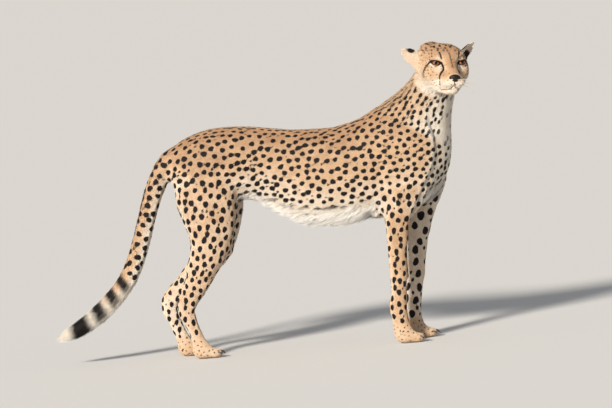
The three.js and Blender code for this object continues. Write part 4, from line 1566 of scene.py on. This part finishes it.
class CHEETAH_OT_whiskers(bpy.types.Operator):
    """Plants fine pale whiskers on the upper lips and over the eyes"""

    bl_idname = "cheetah.whiskers"
    bl_label = "Plant whiskers"

    def execute(self, context):
        skin = bpy.data.objects[SKIN].data
        polygons = [list(p.vertices) for p in skin.polygons]
        tree = BVHTree.FromPolygons(mesh_arrays(skin)[0].tolist(), polygons)
        random = np.random.default_rng(RANDOM_SEED + 2)
        points, faces = [], []
        for root, way, length in self.strands(random):
            base = np.array(tree.find_nearest(Vector(root))[0]) - way * 0.001
            self.add_strand(base, way, length, points, faces)
        mesh = bpy.data.meshes.new("whiskers")
        mesh.from_pydata(points, [], faces)
        shade_smooth(mesh)
        shader = Shader("whisker_hair", (0.80, 0.76, 0.68), 0.4)
        whiskers = new_object("whiskers", mesh, shader.material)
        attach(whiskers, BODY)
        return {"FINISHED"}

    @staticmethod
    def strands(random):
        """Root, way and length of each whisker: three rows on each upper lip, and three over each eye."""
        found = []
        for side in (1, -1):
            for row in range(3):
                for column in range(4):
                    forward = 0.056 - 0.009 * column
                    outward = side * (0.024 + 0.004 * column)
                    root = HEAD.world([forward, outward, -0.052 - 0.0075 * row])
                    lean = np.array([-0.25 - 0.15 * column, side * 1.0, -0.10 - 0.16 * row])
                    way = unit(HEAD.rows.T @ lean + random.normal(0, 0.05, 3))
                    found.append((root, way, 0.045 + 0.008 * column))
            for brow in range(3):
                root = HEAD.world([0.004, side * (0.028 + 0.006 * brow), 0.020])
                found.append((root, unit(HEAD.rows.T @ np.array([0.35, side * 0.5, 1.0])), 0.026))
        return found

    @staticmethod
    def add_strand(base, way, length, points, faces):
        """Adds one tapering strand that bends down towards its tip."""
        segments, sides = 8, 5
        across = unit(np.cross(way, [0.0, 0.0, 1.0]))
        up = np.cross(across, way)
        bend = np.array([0.0, 0.0, -0.18 * length])
        start = len(points)
        for ring in range(segments):
            share = ring / segments
            centre = base + way * length * share + bend * share**2
            girth = 0.00038 * (1 - share) + 0.00006
            for s in range(sides):
                turn = 2 * math.pi * s / sides
                points.append(centre + girth * (math.cos(turn) * across + math.sin(turn) * up))
        points.append(base + way * length + bend)
        tip = len(points) - 1
        faces.append(tuple(start + s for s in range(sides)))
        for s in range(sides):
            after = (s + 1) % sides
            for ring in range(segments - 1):
                a, b = start + ring * sides, start + (ring + 1) * sides
                faces.append((a + after, a + s, b + s, b + after))
            last = start + (segments - 1) * sides
            faces.append((last + after, last + s, tip))


# ------------------------------------------------------------------ stage

CAMERA_PITCH = math.radians(5.0)  # the camera looks down on the animal by this much
CAMERA_ROLL = math.radians(4.5)  # and is rolled, so that the level model stands nose-up as on its mound
CAMERA_LENS = 759.0  # mm
CAMERA_SENSOR = 36.0  # mm
CAMERA_CLIP = 200.0
AIM = Vector(HEAD.origin) + Vector((-0.475, 0.130, -0.414))  # what the camera looks at, from the eyes
FLOOR_HALF_SIZE = 60.0
KEY_COLOUR = (1.0, 0.945, 0.87)
SKY_COLOUR = (0.90, 0.94, 1.0, 1)

KEY_TURN = math.radians(26)  # the key light stands this far to the left of the camera
KEY_RISE = math.radians(26)  # and this high


class CHEETAH_OT_stage(bpy.types.Operator):
    """Lays the pale floor and sets the lights and the camera"""

    bl_idname = "cheetah.stage"
    bl_label = "Set stage"

    def execute(self, context):
        settings = context.scene.cheetah_stage
        size = FLOOR_HALF_SIZE
        corners = [(-size, -size, 0), (size, -size, 0), (size, size, 0), (-size, size, 0)]
        mesh = bpy.data.meshes.new("studio_floor")
        mesh.from_pydata(corners, [], [(0, 1, 2, 3)])
        shader = Shader("pale_floor", (0.72, 0.70, 0.67), 0.85)
        floor = new_object("studio_floor", mesh, shader.material)
        level = math.cos(KEY_RISE)
        from_key = Vector((-math.sin(KEY_TURN) * level, -math.cos(KEY_TURN) * level, math.sin(KEY_RISE)))
        self.far_light("key_light", from_key, settings.key_power, settings.key_softness, KEY_COLOUR)
        world = bpy.data.worlds.new("studio_world")
        world.use_nodes = True
        background = world.node_tree.nodes["Background"]
        background.inputs["Color"].default_value = SKY_COLOUR
        background.inputs["Strength"].default_value = settings.sky
        context.scene.world = world
        context.scene.view_settings.view_transform = "Standard"
        self.set_camera(context.scene, settings.distance)
        return {"FINISHED"}

    @staticmethod
    def far_light(name, direction, power, softness, colour):
        light = bpy.data.lights.new(name, "SUN")
        light.energy = power
        light.angle = softness
        light.color = colour
        lamp = bpy.data.objects.new(name, light)
        bpy.context.scene.collection.objects.link(lamp)
        lamp.location = direction * 6
        lamp.rotation_euler = direction.to_track_quat("Z", "Y").to_euler()

    @staticmethod
    def set_camera(scene, distance):
        across, upright = math.sin(CAMERA_ROLL), math.cos(CAMERA_ROLL)
        down, ahead = math.sin(CAMERA_PITCH), math.cos(CAMERA_PITCH)
        forward = Vector((-down * across, ahead, -down * upright))
        up = Vector((ahead * across, down, ahead * upright))
        right = forward.cross(up)
        camera = bpy.data.objects.new("camera", bpy.data.cameras.new("camera"))
        scene.collection.objects.link(camera)
        camera.data.lens = CAMERA_LENS
        camera.data.sensor_width = CAMERA_SENSOR
        camera.data.clip_end = CAMERA_CLIP
        turned = Matrix((right, up, -forward)).transposed().to_4x4()
        camera.matrix_world = Matrix.Translation(AIM - forward * distance) @ turned
        scene.camera = camera


# ------------------------------------------------------------------ add-on

OPERATORS = (
    CHEETAH_OT_skin,
    CHEETAH_OT_markings,
    CHEETAH_OT_coat,
    CHEETAH_OT_eyes,
    CHEETAH_OT_nose,
    CHEETAH_OT_claws,
    CHEETAH_OT_whiskers,
    CHEETAH_OT_stage,
)
SETTINGS = {
    "cheetah_skin": CheetahSkinSettings,
    "cheetah_coat": CheetahCoatSettings,
    "cheetah_stage": CheetahStageSettings,
}


class CHEETAH_PT_panel(bpy.types.Panel):
    bl_idname = "CHEETAH_PT_panel"
    bl_label = "Standing cheetah"
    bl_space_type = "VIEW_3D"
    bl_region_type = "UI"
    bl_category = "Cheetah"

    def draw(self, context):
        for operator in OPERATORS:
            self.layout.operator(operator.bl_idname)
        for name, group in SETTINGS.items():
            box = self.layout.box()
            for key in group.__annotations__:
                box.prop(getattr(context.scene, name), key)


def register():
    for group in SETTINGS.values():
        bpy.utils.register_class(group)
    for name, group in SETTINGS.items():
        setattr(bpy.types.Scene, name, PointerProperty(type=group))
    for operator in OPERATORS:
        bpy.utils.register_class(operator)
    bpy.utils.register_class(CHEETAH_PT_panel)


def unregister():
    bpy.utils.unregister_class(CHEETAH_PT_panel)
    for operator in reversed(OPERATORS):
        bpy.utils.unregister_class(operator)
    for name, group in SETTINGS.items():
        delattr(bpy.types.Scene, name)
        bpy.utils.unregister_class(group)


def main():
    register()
    bpy.ops.cheetah.skin()
    bpy.ops.cheetah.markings()
    bpy.ops.cheetah.coat()
    bpy.ops.cheetah.eyes()
    bpy.ops.cheetah.nose()
    bpy.ops.cheetah.claws()
    bpy.ops.cheetah.whiskers()
    bpy.ops.cheetah.stage()


if __name__ == "__main__":
    main()
